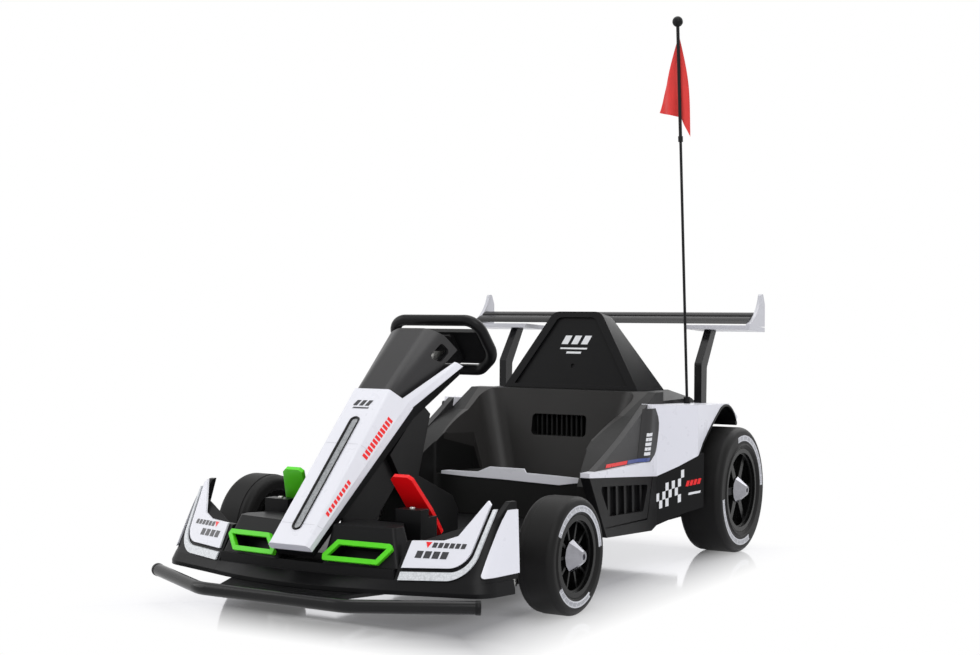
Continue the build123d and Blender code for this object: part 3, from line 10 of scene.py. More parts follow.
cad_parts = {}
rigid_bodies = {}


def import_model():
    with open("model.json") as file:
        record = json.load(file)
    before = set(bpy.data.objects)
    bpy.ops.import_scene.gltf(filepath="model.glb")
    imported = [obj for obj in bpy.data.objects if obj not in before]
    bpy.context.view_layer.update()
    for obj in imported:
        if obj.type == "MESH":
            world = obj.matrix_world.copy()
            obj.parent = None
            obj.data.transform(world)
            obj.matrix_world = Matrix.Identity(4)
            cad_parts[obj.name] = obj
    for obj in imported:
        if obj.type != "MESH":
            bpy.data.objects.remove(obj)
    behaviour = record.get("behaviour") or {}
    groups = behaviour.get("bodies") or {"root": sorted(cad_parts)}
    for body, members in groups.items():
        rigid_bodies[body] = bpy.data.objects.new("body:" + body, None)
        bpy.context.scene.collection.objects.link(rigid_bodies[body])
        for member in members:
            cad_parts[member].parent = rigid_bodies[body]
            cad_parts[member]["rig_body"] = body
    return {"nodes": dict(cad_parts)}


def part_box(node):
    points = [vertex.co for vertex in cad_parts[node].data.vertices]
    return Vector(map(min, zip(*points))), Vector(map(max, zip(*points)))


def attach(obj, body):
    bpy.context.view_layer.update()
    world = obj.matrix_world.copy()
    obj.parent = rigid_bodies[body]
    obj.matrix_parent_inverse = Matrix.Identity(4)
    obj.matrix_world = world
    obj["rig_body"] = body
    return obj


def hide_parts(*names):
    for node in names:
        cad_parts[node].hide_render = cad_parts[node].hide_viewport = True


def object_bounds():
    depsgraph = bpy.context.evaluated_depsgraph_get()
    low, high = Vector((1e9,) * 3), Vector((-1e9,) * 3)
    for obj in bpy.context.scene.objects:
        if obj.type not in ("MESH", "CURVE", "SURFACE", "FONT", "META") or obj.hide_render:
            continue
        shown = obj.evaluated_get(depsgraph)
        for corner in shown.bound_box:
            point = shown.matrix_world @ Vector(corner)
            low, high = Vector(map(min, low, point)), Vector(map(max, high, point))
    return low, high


bl_info = {
    "name": "Electric drift kart",
    "version": (1, 0, 0),
    "blender": (4, 5, 0),
    "location": "3D View > Sidebar > Kart",
    "description": "Gives a child's electric drift kart its finishes, markings and studio",
    "category": "Object",
}

# The kart faces -Y, its left side is +X and +Z is up. All lengths are in metres.
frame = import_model()
cad_low, cad_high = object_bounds()
nodes = frame["nodes"]

ACROSS = Vector((1, 0, 0))
BACK = Vector((0, 1, 0))
UP = Vector((0, 0, 1))
SIDES = (("left", 1), ("right", -1))
CORNERS = ("front_left", "front_right", "rear_left", "rear_right")

# The line of the nose, repeated from the part's source
NOSE_TIP = Vector((0, -0.615, 0.136))
NOSE_SLOPE = math.radians(45.6)
NOSE_ALONG = Vector((0, math.cos(NOSE_SLOPE), math.sin(NOSE_SLOPE)))
NOSE_OUT = Vector((0, -math.sin(NOSE_SLOPE), math.cos(NOSE_SLOPE)))

# The nose lamp: its middle up the slope, its half length, the radius of its ends, the space left at
# each end of the prisms, and how deep they lie. The surround runs from the lens over the lip and
# down to the cowl, as half width and height.
NOSE_LAMP_MIDDLE = 0.152
NOSE_LAMP_HALF = 0.120
NOSE_LAMP_END = 0.0075
NOSE_LAMP_SURROUND = ((0.0060, -0.0009), (0.0067, 0.0012), (0.0080, 0.0022), (0.0100, 0.0018),
                      (0.0108, -0.0006))
PRISM_MARGIN = 0.008
PRISM_DEPTH = 0.0006
PRISM_HALF_SHARE = 0.48
PRISM_TALL_SHARE = 0.32

# The lower steering shaft's joint and lean, and the bellows round it
SHAFT_JOINT = Vector((0, -0.24997, 0.38451))
SHAFT_LEAN = math.radians(28)
BOOT_START = 0.232
BOOT_FOLD = 0.009
BOOT_FOLDS = 8
BOOT_NECK = 0.0085
BOOT_VALLEY = 0.0118
BOOT_CREST = 0.0142

# The webs under the nose: where each starts across the kart, and the y and z of a web's corners
NOSE_WEB_STARTS = (0.033, -0.037)
NOSE_WEB = ((-0.514, 0.15), (-0.425, 0.15), (-0.395, 0.175), (-0.352, 0.2135), (-0.389, 0.2642),
            (-0.404, 0.2622), (-0.514, 0.1742))

# The white band on the seat's front lip, as seen from the front, and the y of its back
LIP_BAND = ((-0.163, 0.178), (-0.1, 0.1755), (-0.02, 0.1745), (0.115, 0.1705), (0.163, 0.178),
            (0.163, 0.187), (0.115, 0.189), (0.04, 0.191), (0.035, 0.199), (-0.046, 0.199),
            (-0.074, 0.1875), (-0.163, 0.1845))
LIP_BAND_Y = 0.1138

# The seat's bucket, whose colour is painted lighter as a sheen: the height at which its half width and its
# back are given, what both grow by for each metre of height, and its front
BUCKET_LEVEL = 0.150
BUCKET_HALF = 0.140
BUCKET_FLARE = 0.333
BUCKET_BACK = 0.309
BUCKET_RAKE = 0.15
BUCKET_FRONT = 0.136

# The light print on the tyres' outer sides: the inner and outer radius of its ring, and where its
# arcs start and end, in degrees from the rear, upwards. It is an outline PRINT_LINE wide round
# groups of darker blocks, PRINT_DEPTH or less from the outermost face. Gaps are shares of a pitch.
TYRE_PRINTS = {
    "front": ((0.0755, 0.0865), ((5, 150), (215, 300))),
    "rear": ((0.106, 0.118), ((0.5, 105), (185, 290))),
}
PRINT_LINE = 0.0022
PRINT_DEPTH = 0.012
BLOCKS_A_DEGREE = 0.5
BLOCK_GAP = 0.38
GROUPS_A_DEGREE = 0.0909
GROUP_GAP = 0.16
BLOCK_INK = 0.45

# The blocks along the nose's lower edges: where each row starts up the slope, how many blocks it
# has, and their width. The edge lies EDGE_HALF from the middle and moves out by EDGE_SPREAD a metre.
NOSE_BLOCK_ROWS = ((0.066, 9, 0.0042), (0.196, 11, 0.0062))
NOSE_BLOCK_STEP = 0.0088
NOSE_BLOCK_TALL = 0.0062
NOSE_BLOCK_LEAN = 0.0024
EDGE_HALF = 0.0402
EDGE_SPREAD = 0.0529

# Rows of printed bars: how many, the first one's lower left corner, the step to the next, the
# bars' width and height, and their lean as a share of the height
NOSE_BARS = ((3, -0.021, 0.3, 0.0125, 0, 0.0085, 0.0125, 0.35),
             (1, -0.019, 0.2935, 0, 0, 0.033, 0.003, 0.35))
NOSE_SEAMS = ((1, -0.058, 0.042, 0, 0, 0.116, 0.0006, 0), (1, -0.058, 0.214, 0, 0, 0.116, 0.0006, 0))
CORNER_BLOCKS = ((6, 0.2255, 0.1385, 0.0092, 0, 0.007, 0.0075, 0.2),
                 (4, 0.203, 0.1225, 0.0135, 0, 0.0105, 0.0105, 0.15))
HEADREST_BARS = ((3, -0.034, 0.447, 0.024, 0, 0.016, 0.019, 0.5),
                 (1, -0.036, 0.436, 0, 0, 0.066, 0.0035, 0.3),
                 (1, -0.02, 0.4265, 0, 0, 0.036, 0.0045, 0.3))
INSERT_BLOCKS = ((5, 0.229, 0.2275, 0.0025, 0.0095, 0.02, 0.0066, 0.25),)
FLARE_ACCENTS = ((4, 0.346, 0.157, 0.0082, 0.0012, 0.006, 0.0115, 0.3),)

# Marks by their corners: the wedge on a corner panel, and the line under the flare's accents
CORNER_WEDGE = ((0.214, 0.1465), (0.224, 0.1465), (0.219, 0.1375))
FLARE_LINE = ((0.352, 0.1385), (0.378, 0.142), (0.379, 0.147), (0.353, 0.1435))

# The stripe on an insert: the colour and the start and end of each part, its lower and upper edge,
# and how far it leans
STRIPES = (("red", 0.066, 0.162), ("blue", 0.164, 0.246))
STRIPE_LOW = 0.2152
STRIPE_HIGH = 0.2222
STRIPE_LEAN = 0.004

CHECKER = ((0, 0), (1, -1), (2, 0), (3, 1), (3, -1), (4, 0), (5, 1), (6, 0), (7, 1), (7, -1), (8, 2))
CHECKER_START = Vector((0.2835, 0.1285))
CHECKER_TALL = 0.0163
CHECKER_RISE = 0.0017

# The fairing on each insert's rear edge, which stands at FAIRING_EDGE at the height FAIRING_FOOT and
# leans back. Its front is given as distance before that edge and x. It lies on the panel at
# FAIRING_X, which flares out behind PANEL_BEND, and its own rear edge is given at a few heights.
FAIRING_EDGE = 0.234
FAIRING_FOOT = 0.214
FAIRING_LEAN = 0.233
FAIRING_FRONT = ((0.024, 0.2397), (0.012, 0.2437), (0.001, 0.2505))
FAIRING_X = 0.2506
PANEL_BEND = 0.285
PANEL_FLARE = 0.614
FAIRING = ((0.2138, 0.251), (0.2175, 0.2575), (0.226, 0.272), (0.234, 0.279), (0.243, 0.283), (0.257, 0.286),
           (0.275, 0.288), (0.29, 0.2885), (0.303, 0.287), (0.312, 0.283), (0.3212, 0.2755))

# The screws under the bar's plate, on the pedals' feet and on the rear cover
PLATE_SCREWS = ((0.085, -0.567, 0.0597), (-0.085, -0.567, 0.0597), (0.13, -0.555, 0.0597),
                (-0.13, -0.555, 0.0597))
PEDAL_SCREWS = ((0.138, -0.457, 0.186), (-0.138, -0.457, 0.186))
COVER_SCREWS = ((-0.09, -0.052), (-0.09, 0.041), (0.09, -0.052), (0.09, 0.041))

# The bumper bar's last bend and its end on the left, and the plug in it as radius and height
BAR_BEND = Vector((0.147, -0.65725, 0.057))
BAR_END = Vector((0.33, -0.559, 0.057))
PLUG = ((0.0109, 0.0), (0.0114, 0.0008), (0.0114, 0.0072), (0.0104, 0.0086), (0.0082, 0.0086),
        (0.0074, 0.0072), (0.0, 0.0072))
PLUG_INSIDE = 0.006

# The cover over the motor bay: the height of its middle, its outline round that, its thickness, and
# its slats, which lie COVER_SLAT_STEP apart from the lowest one up
COVER_MIDDLE = 0.205
COVER = ((-0.105, -0.058), (-0.095, -0.066), (0.095, -0.066), (0.105, -0.058), (0.105, 0.042),
         (0.089, 0.056), (-0.089, 0.056), (-0.105, 0.042))
COVER_THICK = 0.004
COVER_SLAT = ((-0.07, -0.036), (0.07, -0.036), (0.066, -0.0305), (-0.066, -0.0305))
COVER_SLATS = 6
COVER_SLAT_STEP = 0.0125

# The mast's line where the flag hangs, and the flag's cut: its width at the top, what it widens
# by, how its fly edge bows, and the flap that hangs past the mast
MAST_HIGH = Vector((0.2193, 0.450, 1.109))
MAST_LOW = Vector((0.2251, 0.450, 0.938))
FLAG_TOP = 0.002
FLAG_FLARE = 0.050
FLAG_BOW = 0.25
FLAG_FLAP = 0.018

# The flag before it falls: its rows, its columns on both sides of the mast, its distance from the
# mast's middle, its pleats' depth, radians a metre and twist, its small folds, and what its fly and
# its flap rise by for each metre of width at the bottom
FLAG_ROWS, FLAP_COLUMNS, FLY_COLUMNS = 56, 12, 26
FLAG_OFF_MAST = 0.0042
FLAG_PLEAT = 0.0035
FLAG_PLEAT_RATE = 190
FLAG_TWIST = 1.2
FLAG_STIR = 0.0012
FLY_RISE = 0.26
FLAP_RISE = 2.1

# The share of its weight that the flag's stiff print leaves free, and how long it falls
FLAG_PULL = 0.03
FLAG_FRAMES = 24

# The studio's lamps, as name, place, size and power, and the height that they face
LAMPS = (("key", (2.6, -2.6, 3.2), 2.4, 62), ("fill", (-3.2, -1.6, 2.2), 2.6, 34),
         ("top", (0.0, 0.4, 3.8), 3.0, 60), ("back", (0.8, 3.4, 2.4), 2.4, 40))
LAMPS_FACE = 0.3

# The floor: its half width, and how its mirror image fades to white. The fade starts FADE_INSIDE
# within the kart's outline, whose length is cut by FADE_SHORT, and FLOOR_WHITE is white throughout.
FLOOR_HALF = 14.0
FADE_INSIDE = 0.1
FADE_SHORT = 0.05
FADE_RATE = 5.5
FLOOR_WHITE = 0.1

# The moulded plastics: name, colour, what it is lightened by, roughness, lumps of grain a metre,
# depth of the grain, clouds of colour and shine
MOULDED = (
    ("white_plastic", "white", 0, 0.28, 900.0, 0.00002, 0.012, 0.45),
    ("endplate_plastic", "white", -0.3, 0.3, 900.0, 0.00002, 0.02, 0.5),
    ("black_plastic", "black", 0, 0.36, 900.0, 0.00015, 0.2, 0.12),
    ("dash_plastic", "dash", 0, 0.34, 800.0, 0.0001, 0.1, 0.3),
    ("wing_plastic", "black", 0, 0.26, 700.0, 0.0001, 0.15, 0.2),
    ("grip_plastic", "black", 0, 0.32, 700.0, 0.0002, 0.15, 0.14),
    ("green_plastic", "green", 0, 0.3, 900.0, 0.00002, 0.04, 0.3),
    ("red_plastic", "red", 0, 0.3, 900.0, 0.00002, 0.04, 0.25),
    ("rim_plastic", "rim", 0, 0.24, 500.0, 0.00008, 0.2, 0.14),
    ("mast_plastic", "black", 0, 0.45, 900.0, 0.0001, 0.2, 0.15),
)
MOULDED_EDGE = 0.0012

# Where each finish is used
FINISH_NODES = {
    "white_plastic": ["nose_cowl", "side_panels", "corner_panels", "corner_sides", "seat_lip_trim"],
    "endplate_plastic": ["wing_endplates"],
    "black_plastic": ["front_bumper", "floor_tub", "column_pylon", "side_pods", "rear_body",
                      "headrest", "gearboxes"],
    "dash_plastic": ["dash_cover", "side_inserts"],
    "wing_plastic": ["wing_blades", "wing_struts"],
    "seat_plastic": ["seat_bucket"],
    "grip_plastic": ["steering_wheel"],
    "green_plastic": ["vent_frames", "accelerator_pedal"],
    "red_plastic": ["brake_pedal"],
    "rim_plastic": ["rim_" + corner for corner in CORNERS],
    "cap_chrome": ["hub_cap_" + corner for corner in CORNERS],
    "black_paint": ["bumper_bar", "front_axle_beam", "drop_shaft"],
    "bare_steel": ["rear_axle", "steering_column", "tie_rod", "knuckle_left", "knuckle_right"],
    "lamp_lens": ["corner_lamps"],
    "nose_lens": ["nose_light"],
    "mast_plastic": ["flag_mast"],
}

# The materials made so far, by name
finishes = {}


# Shader maths

class Socket:
    """A node's output that Python's operators turn into more nodes."""

    def __init__(self, sheet, output):
        self.sheet = sheet
        self.output = output

    def __add__(self, other):
        return self.sheet.maths("ADD", self, other)

    def __radd__(self, other):
        return self.sheet.maths("ADD", other, self)

    def __sub__(self, other):
        return self.sheet.maths("SUBTRACT", self, other)

    def __rsub__(self, other):
        return self.sheet.maths("SUBTRACT", other, self)

    def __mul__(self, other):
        return self.sheet.maths("MULTIPLY", self, other)

    def __gt__(self, other):
        return self.sheet.maths("GREATER_THAN", self, other)

    def __lt__(self, other):
        return self.sheet.maths("LESS_THAN", self, other)

    def __mod__(self, other):
        return self.sheet.maths("FLOORED_MODULO", self, other)

    def __abs__(self):
        return self.sheet.maths("ABSOLUTE", self)

    def held(self):
        """The value, kept from 0 to 1."""
        return self.sheet.maths("MINIMUM", self.sheet.maths("MAXIMUM", self, 0.0), 1.0)


class Sheet:
    """The node tree of one material, or of the world."""

    def __init__(self, owner, shader):
        self.owner = owner
        owner.use_nodes = True
        self.tree = owner.node_tree
        self.surface = self.tree.nodes[shader]

    @classmethod
    def material(cls, name):
        """A new material whose places are in metres in the kart's own frame."""
        finishes[name] = bpy.data.materials.new(name)
        sheet = cls(finishes[name], "Principled BSDF")
        sheet.place = sheet.node("ShaderNodeTexCoord", output="Object")
        return sheet

    def node(self, kind, settings=None, inputs=None, output=0):
        """Adds a node, makes its settings and then its inputs, and gives back one output or more."""
        made = self.tree.nodes.new(kind)
        for name, value in (settings or {}).items():
            setattr(made, name, value)
        for name, value in (inputs or {}).items():
            self.feed(made.inputs[name], value)
        if isinstance(output, tuple):
            return [Socket(self, made.outputs[each]) for each in output]
        return Socket(self, made.outputs[output])

    def feed(self, target, value):
        """Links a socket to an input, or writes a plain value into it."""
        if isinstance(value, Socket):
            self.tree.links.new(value.output, target)
        else:
            target.default_value = value

    def set(self, **values):
        """Sets the surface shader's inputs: base_color stands for Base Color."""
        for name, value in values.items():
            title = name.replace("_", " ").title().replace("Ior", "IOR")
            self.feed(self.surface.inputs[title], value)

    def maths(self, operation, *values):
        """One step of arithmetic on sockets and numbers."""
        return self.node("ShaderNodeMath", {"operation": operation}, dict(enumerate(values)))

    def noise(self, scale, detail, rough=0.5):
        """Cloudy noise from 0 to 1, with lumps of about 1 / scale metres."""
        return self.node("ShaderNodeTexNoise", None,
                         {"Vector": self.place, "Scale": scale, "Detail": detail, "Roughness": rough})

    def blend(self, share, first, second):
        """The first colour where share is 0 and the second where it is 1."""
        return self.node("ShaderNodeMix", {"data_type": "RGBA"}, {0: share, 6: first, 7: second}, output=2)

    def spread(self, share, low, high):
        """Turns a share from 0 to 1 into a number from low to high."""
        return share * (high - low) + low

    def bump(self, height, distance, strength, edge=0.0):
        """Raises the surface by height times distance, on edges that look rounded by edge."""
        inputs = {"Height": height, "Distance": distance, "Strength": strength}
        if edge:
            inputs["Normal"] = self.node("ShaderNodeBevel", {"samples": 4}, {"Radius": edge})
        self.set(normal=self.node("ShaderNodeBump", None, inputs))

    def axes(self):
        """The three numbers of a place on the surface."""
        return self.node("ShaderNodeSeparateXYZ", None, {0: self.place}, (0, 1, 2))

    def seen(self):
        """1 where the camera looks, straight, in a mirror or through glass, and 0 for other rays."""
        camera, glossy, through = self.node("ShaderNodeLightPath", output=(
            "Is Camera Ray", "Is Glossy Ray", "Is Transmission Ray"))
        return (camera + glossy + through).held()


def tint(colour, share):
    """A colour with its alpha, made lighter or darker by a share of itself."""
    return tuple(min(1.0, part * (1 + share)) for part in colour[:3]) + (1.0,)


# Finishes

def moulded_plastic(name, colour, rough, grain, grain_depth, cloud, shine):
    """Injection-moulded plastic: faint clouds of colour, a sprayed grain and hazy patches."""
    sheet = Sheet.material(name)
    clouds = sheet.noise(9.0, 3.0)
    haze = sheet.noise(38.0, 4.0, 0.6)
    fine = sheet.noise(grain, 1.0)
    sheet.set(
        base_color=sheet.blend(clouds, tint(colour, -cloud), tint(colour, cloud)),
        roughness=sheet.spread(haze, rough - 0.04, rough + 0.05),
        specular_ior_level=shine,
    )
    sheet.bump(fine, grain_depth, 0.6, MOULDED_EDGE)


def seat_shell(name, rim_colour, bucket_sheen_colour):
    """The seat: a black rim round a dark grey bucket that shines more than the rim; the bucket's lighter grey
    is a painted sheen.
    """
    sheet = Sheet.material(name)
    across, along, up = sheet.axes()
    half = BUCKET_HALF + (up - BUCKET_LEVEL) * BUCKET_FLARE
    back = BUCKET_BACK + (up - BUCKET_LEVEL) * BUCKET_RAKE
    inside = (abs(across) < half) * (along > BUCKET_FRONT) * (along < back)
    clouds = sheet.noise(14.0, 3.0)
    haze = sheet.noise(45.0, 4.0, 0.6)
    rim = sheet.blend(clouds, tint(rim_colour, -0.1), tint(rim_colour, 0.1))
    # The bucket's colour, lighter than the rim, is a painted sheen
    bucket = sheet.blend(clouds, tint(bucket_sheen_colour, -0.12), tint(bucket_sheen_colour, 0.14))
    sheet.set(
        base_color=sheet.blend(inside, rim, bucket),
        roughness=sheet.spread(haze, 0.3, 0.42) + (1 - inside) * 0.08,
        specular_ior_level=0.2,
    )
    sheet.bump(sheet.noise(650.0, 1.0), 0.00012, 0.6, 0.0015)


def clouded(name, clouds, first, second, rough, grain, depth, strength, **more):
    """A plain finish: clouds of two colours, duller where they are denser, over a fine grain.

    clouds and grain are the scale, detail and roughness of a noise.
    """
    sheet = Sheet.material(name)
    cloud = sheet.noise(*clouds)
    sheet.set(base_color=sheet.blend(cloud, first, second), roughness=sheet.spread(cloud, *rough), **more)
    sheet.bump(sheet.noise(*grain), depth, strength)


def lamp_plastic(name, pitch, dark, light):
    """A clear lens over a field of small prisms, with painted glints on the prisms and a faint painted glow
    from emission.
    """
    sheet = Sheet.material(name)
    prisms_and_glints = sheet.node("ShaderNodeTexVoronoi", {"feature": "F1"},
                         {"Vector": sheet.place, "Scale": 1 / pitch})
    dapple = sheet.noise(300.0, 2.0)
    glint_colour = (light * 0.97, light, light * 1.03, 1)
    between_glints = (dark * 0.97, dark, dark * 1.04, 1)
    # The base colour paints glints on the prisms, and the faint emission is a painted glow
    sheet.set(
        base_color=sheet.blend(prisms_and_glints, glint_colour, between_glints),
        roughness=sheet.spread(dapple, 0.15, 0.35),
        emission_color=(0.8, 0.86, 0.9, 1),
        emission_strength=0.05,
    )
    sheet.bump(prisms_and_glints, 0.0002, 0.5)


def tyre_plastic(name, node, band, light_arcs, colour, marking):
    """Satin tyre with scuffs, a fine grain and a broken light band on its outer side."""
    low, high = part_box(node)
    middle = (low + high) / 2
    side = 1 if middle.x > 0 else -1
    outer_face = max(abs(low.x), abs(high.x))
    inner, outer = band
    sheet = Sheet.material(name)
    across, along, up = sheet.axes()
    back = along - middle.y
    rise = up - middle.z
    radius = sheet.maths("SQRT", back * back + rise * rise)
    degrees = (sheet.maths("ARCTAN2", rise, back) * (180 / math.pi)) % 360.0
    ring = (radius > inner) * (radius < outer) * ((across * side) > (outer_face - PRINT_DEPTH))
    arcs = 0.0
    for start, end in light_arcs:
        arcs = (degrees > start) * (degrees < end) + arcs
    inside = (radius > inner + PRINT_LINE) * (radius < outer - PRINT_LINE)
    blocks = ((degrees * BLOCKS_A_DEGREE) % 1.0 > BLOCK_GAP) * ((degrees * GROUPS_A_DEGREE) % 1.0 > GROUP_GAP)
    print_share = ring * arcs * (1 - inside * blocks * BLOCK_INK)
    scuff = sheet.noise(30.0, 5.0, 0.65)
    grain = sheet.noise(500.0, 1.0)
    rubber = sheet.blend(scuff, tint(colour, -0.2), tint(colour, 0.35))
    sheet.set(
        base_color=sheet.blend(print_share, rubber, tint(marking, 0)),
        roughness=sheet.spread(scuff, 0.42, 0.58),
        specular_ior_level=0.14,
    )
    sheet.bump(grain * 0.4 + scuff * 0.4, 0.0002, 0.6, 0.001)


def woven_cloth(name, colour):
    """Thin polyester cloth with its weave and a little sheen."""
    sheet = Sheet.material(name)
    across, along, up = sheet.axes()
    threads = 9000.0
    warp = sheet.maths("SINE", (across + along) * threads)
    weft = sheet.maths("SINE", up * threads)
    clouds = sheet.noise(30.0, 3.0)
    sheet.set(
        base_color=sheet.blend(clouds, tint(colour, -0.12), tint(colour, 0.1)),
        roughness=sheet.spread(clouds, 0.6, 0.75),
        sheen_weight=0.3,
    )
    sheet.bump(warp * weft, 0.0001, 0.4)


# Mesh helpers

def set_finish(node, finish):
    """Puts one finish on all of a CAD node's slots."""
    slots = nodes[node].data.materials
    if not slots:
        slots.append(None)
    for index in range(len(slots)):
        slots[index] = finishes[finish]


def new_object(name, data):
    """An object in the scene."""
    made = bpy.data.objects.new(name, data)
    bpy.context.scene.collection.objects.link(made)
    return made


def new_piece(name, shape, finish, body="chassis", smooth=False):
    """Turns a bmesh into a piece with its finish and slot, which rides on a body."""
    for face in shape.faces:
        face.smooth = smooth
    mesh = bpy.data.meshes.new(name)
    shape.to_mesh(mesh)
    shape.free()
    mesh.materials.append(finishes[finish])
    piece = new_object(name, mesh)
    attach(piece, body)
    return piece


def surface_tree(pieces):
    """A search tree over the surfaces of some pieces."""
    tree = bmesh.new()
    for piece in pieces:
        tree.from_mesh(piece.data)
    found = BVHTree.FromBMesh(tree)
    tree.free()
    return found


def laid_film(name, node, view, outlines, finish, cell=0.008, lift=0.0004, reach=0.3, over=()):
    """Lays flat outlines on a node's surface as thin films.

    The outlines are drawn on the plane that view gives by its origin, right and up. Each is cut into
    cells, and its points drop along the plane's normal, from reach above it, until they meet the
    surface of the node or of the pieces named by over.
    """
    origin, right, up = view
    out = right.cross(up).normalized()
    target = surface_tree([nodes[node], *over])
    film = bmesh.new()
    for outline in outlines:
        film.faces.new([film.verts.new((x, y, 0)) for x, y in outline])
    for axis in (0, 1):
        along = [vert.co[axis] for vert in film.verts]
        normal = Vector((1 - axis, axis, 0))
        at = min(along) + cell
        while at < max(along):
            bmesh.ops.bisect_plane(film, geom=film.verts[:] + film.edges[:] + film.faces[:],
                                   plane_co=normal * at, plane_no=normal)
            at += cell
    missed = []
    for vert in film.verts:
        start = origin + right * vert.co.x + up * vert.co.y + out * reach
        hit = target.ray_cast(start, -out, 2 * reach)[0]
        if hit is None:
            missed.append(vert)
        else:
            vert.co = hit + out * lift
    bmesh.ops.delete(film, geom=missed, context="VERTS")
    bmesh.ops.delete(film, geom=[vert for vert in film.verts if not vert.link_faces], context="VERTS")
    bmesh.ops.triangulate(film, faces=film.faces[:])
    return new_piece(name, film, finish, nodes[node]["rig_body"])


def bars(rows):
    """The corners of the bars in some rows."""
    made = []
    for count, first_x, first_y, step_x, step_y, width, height, slant in rows:
        lean = slant * height
        for k in range(count):
            x, y = first_x + k * step_x, first_y + k * step_y
            made.append([(x, y), (x + width, y), (x + width + lean, y + height), (x + lean, y + height)])
    return made


def turned(shape, profile, place, toward, segments=24):
    """Adds a lathe-turned form whose profile rises along a direction from its place."""
    turn = toward.to_track_quat("Z", "Y").to_matrix()
    rings = []
    for radius, height in profile:
        steps = segments if radius else 1
        angles = [2 * math.pi * k / segments for k in range(steps)]
        rings.append([shape.verts.new(place + turn @ Vector((radius * math.cos(angle),
                                                             radius * math.sin(angle), height)))
                      for angle in angles])
    for lower, upper in zip(rings, rings[1:]):
        for k in range(segments):
            after = (k + 1) % segments
            if len(upper) == 1:
                shape.faces.new((lower[k], lower[after], upper[0]))
            else:
                shape.faces.new((lower[k], lower[after], upper[after], upper[k]))
    return rings


def add_screw(shape, place, toward, radius):
    """Adds a pan-head screw with a cross recess to a mesh."""
    rings = turned(shape, ((radius, 0.0), (radius, 0.3 * radius), (0.86 * radius, 0.55 * radius),
                           (0.6 * radius, 0.66 * radius)), place, toward)
    turn = toward.to_track_quat("Z", "Y").to_matrix()
    rim = rings[-1]
    arm, half, deep = 0.48 * radius, 0.13 * radius, 0.3 * radius
    corners = ((arm, -half), (arm, half), (half, half), (half, arm), (-half, arm), (-half, half),
               (-arm, half), (-arm, -half), (-half, -half), (-half, -arm), (half, -arm), (half, -half))
    cross = [shape.verts.new(place + turn @ Vector((x, y, 0.66 * radius))) for x, y in corners]
    # The flat top joins the round rim to the cross, two rim points to each corner of the cross.
    for k in range(len(cross)):
        after = (k + 1) % len(cross)
        first = rim[(2 * k - 1) % len(rim)]
        middle = rim[2 * k]
        last = rim[2 * k + 1]
        shape.faces.new((cross[k], first, middle))
        shape.faces.new((cross[k], middle, last))
        shape.faces.new((cross[k], last, cross[after]))
    floor = [shape.verts.new(vert.co - turn @ Vector((0, 0, deep))) for vert in cross]
    for k in range(len(cross)):
        after = (k + 1) % len(cross)
        shape.faces.new((cross[k], cross[after], floor[after], floor[k]))
    shape.faces.new(floor)


def slot_outline(half_length, half_width):
    """Points round a slot with half-round ends, drawn with its length along y."""
    points = []
    segments = 10
    straight = half_length - half_width
    for end, start in ((1, 0.0), (-1, math.pi)):
        for k in range(segments + 1):
            angle = start + math.pi * k / segments
            points.append((half_width * math.cos(angle), end * straight + half_width * math.sin(angle)))
    return points


def raised_plate(shape, outline, place, right, up, thickness, bevel):
    """Adds a plate with bevelled upper edges, its outline drawn along right and up."""
    out = right.cross(up).normalized()
    middle = (sum(x for x, y in outline) / len(outline), sum(y for x, y in outline) / len(outline))

    def ring(height, inset):
        made = []
        for x, y in outline:
            reach = math.hypot(x - middle[0], y - middle[1])
            share = 1 - inset / reach
            at = (middle[0] + (x - middle[0]) * share, middle[1] + (y - middle[1]) * share)
            made.append(shape.verts.new(place + right * at[0] + up * at[1] + out * height))
        return made

    rings = [ring(0, 0), ring(thickness - bevel, 0), ring(thickness, bevel)]
    for lower, upper in zip(rings, rings[1:]):
        for k in range(len(outline)):
            after = (k + 1) % len(outline)
            shape.faces.new((lower[k], lower[after], upper[after], upper[k]))
    shape.faces.new(rings[-1])
    shape.faces.new(reversed(rings[0]))


# Settings

def paint(name, description, default):
    """A colour among the settings."""
    return FloatVectorProperty(name=name, description=description, subtype="COLOR", default=default,
                               min=0, max=1)


class KartColours(bpy.types.PropertyGroup):
    """The kart's colours."""

    white: paint("White shell", "Colour of the white panels", (0.77, 0.775, 0.83))
    black: paint("Black shell", "Colour of the black mouldings", (0.007, 0.007, 0.0075))
    dash: paint("Dash", "Colour of the dark grey dash and inserts", (0.022, 0.0215, 0.0225))
    seat: paint("Seat rim", "Colour of the seat's rim", (0.006, 0.006, 0.006))
    tyre: paint("Tyre", "Colour of the tyres", (0.008, 0.0078, 0.0078))
    rim: paint("Rim", "Colour of the rims", (0.006, 0.006, 0.006))
    green: paint("Green", "Colour of the vents and the accelerator", (0.1, 0.7, 0.015))
    red: paint("Red", "Colour of the brake pedal and red marks", (0.86, 0.004, 0.007))
    # The seat bucket's colour is lighter than the rim as a painted sheen
    bucket: paint("Seat bucket", "Colour inside the seat", (0.026, 0.025, 0.0245))
    blue: paint("Blue", "Colour of the blue stripe", (0.06, 0.09, 0.3))
    flag: paint("Flag", "Colour of the flag", (0.72, 0.03, 0.025))
    marking: paint("Markings", "Colour of the light bands and marks", (0.6, 0.61, 0.64))


class KartSizes(bpy.types.PropertyGroup):
    """Sizes of the markings and small fittings."""

    check_size: FloatProperty(name="Check", description="Length of one block of the checker",
                              subtype="DISTANCE", unit="LENGTH", default=0.0066, min=0.002)
    lamp_pitch: FloatProperty(name="Lamp pitch", description="Spacing of the prisms in the lamps",
                              subtype="DISTANCE", unit="LENGTH", default=0.0035, min=0.001)
    screw_radius: FloatProperty(name="Screw radius", description="Radius of a screw's head",
                                subtype="DISTANCE", unit="LENGTH", default=0.0045, min=0.001)


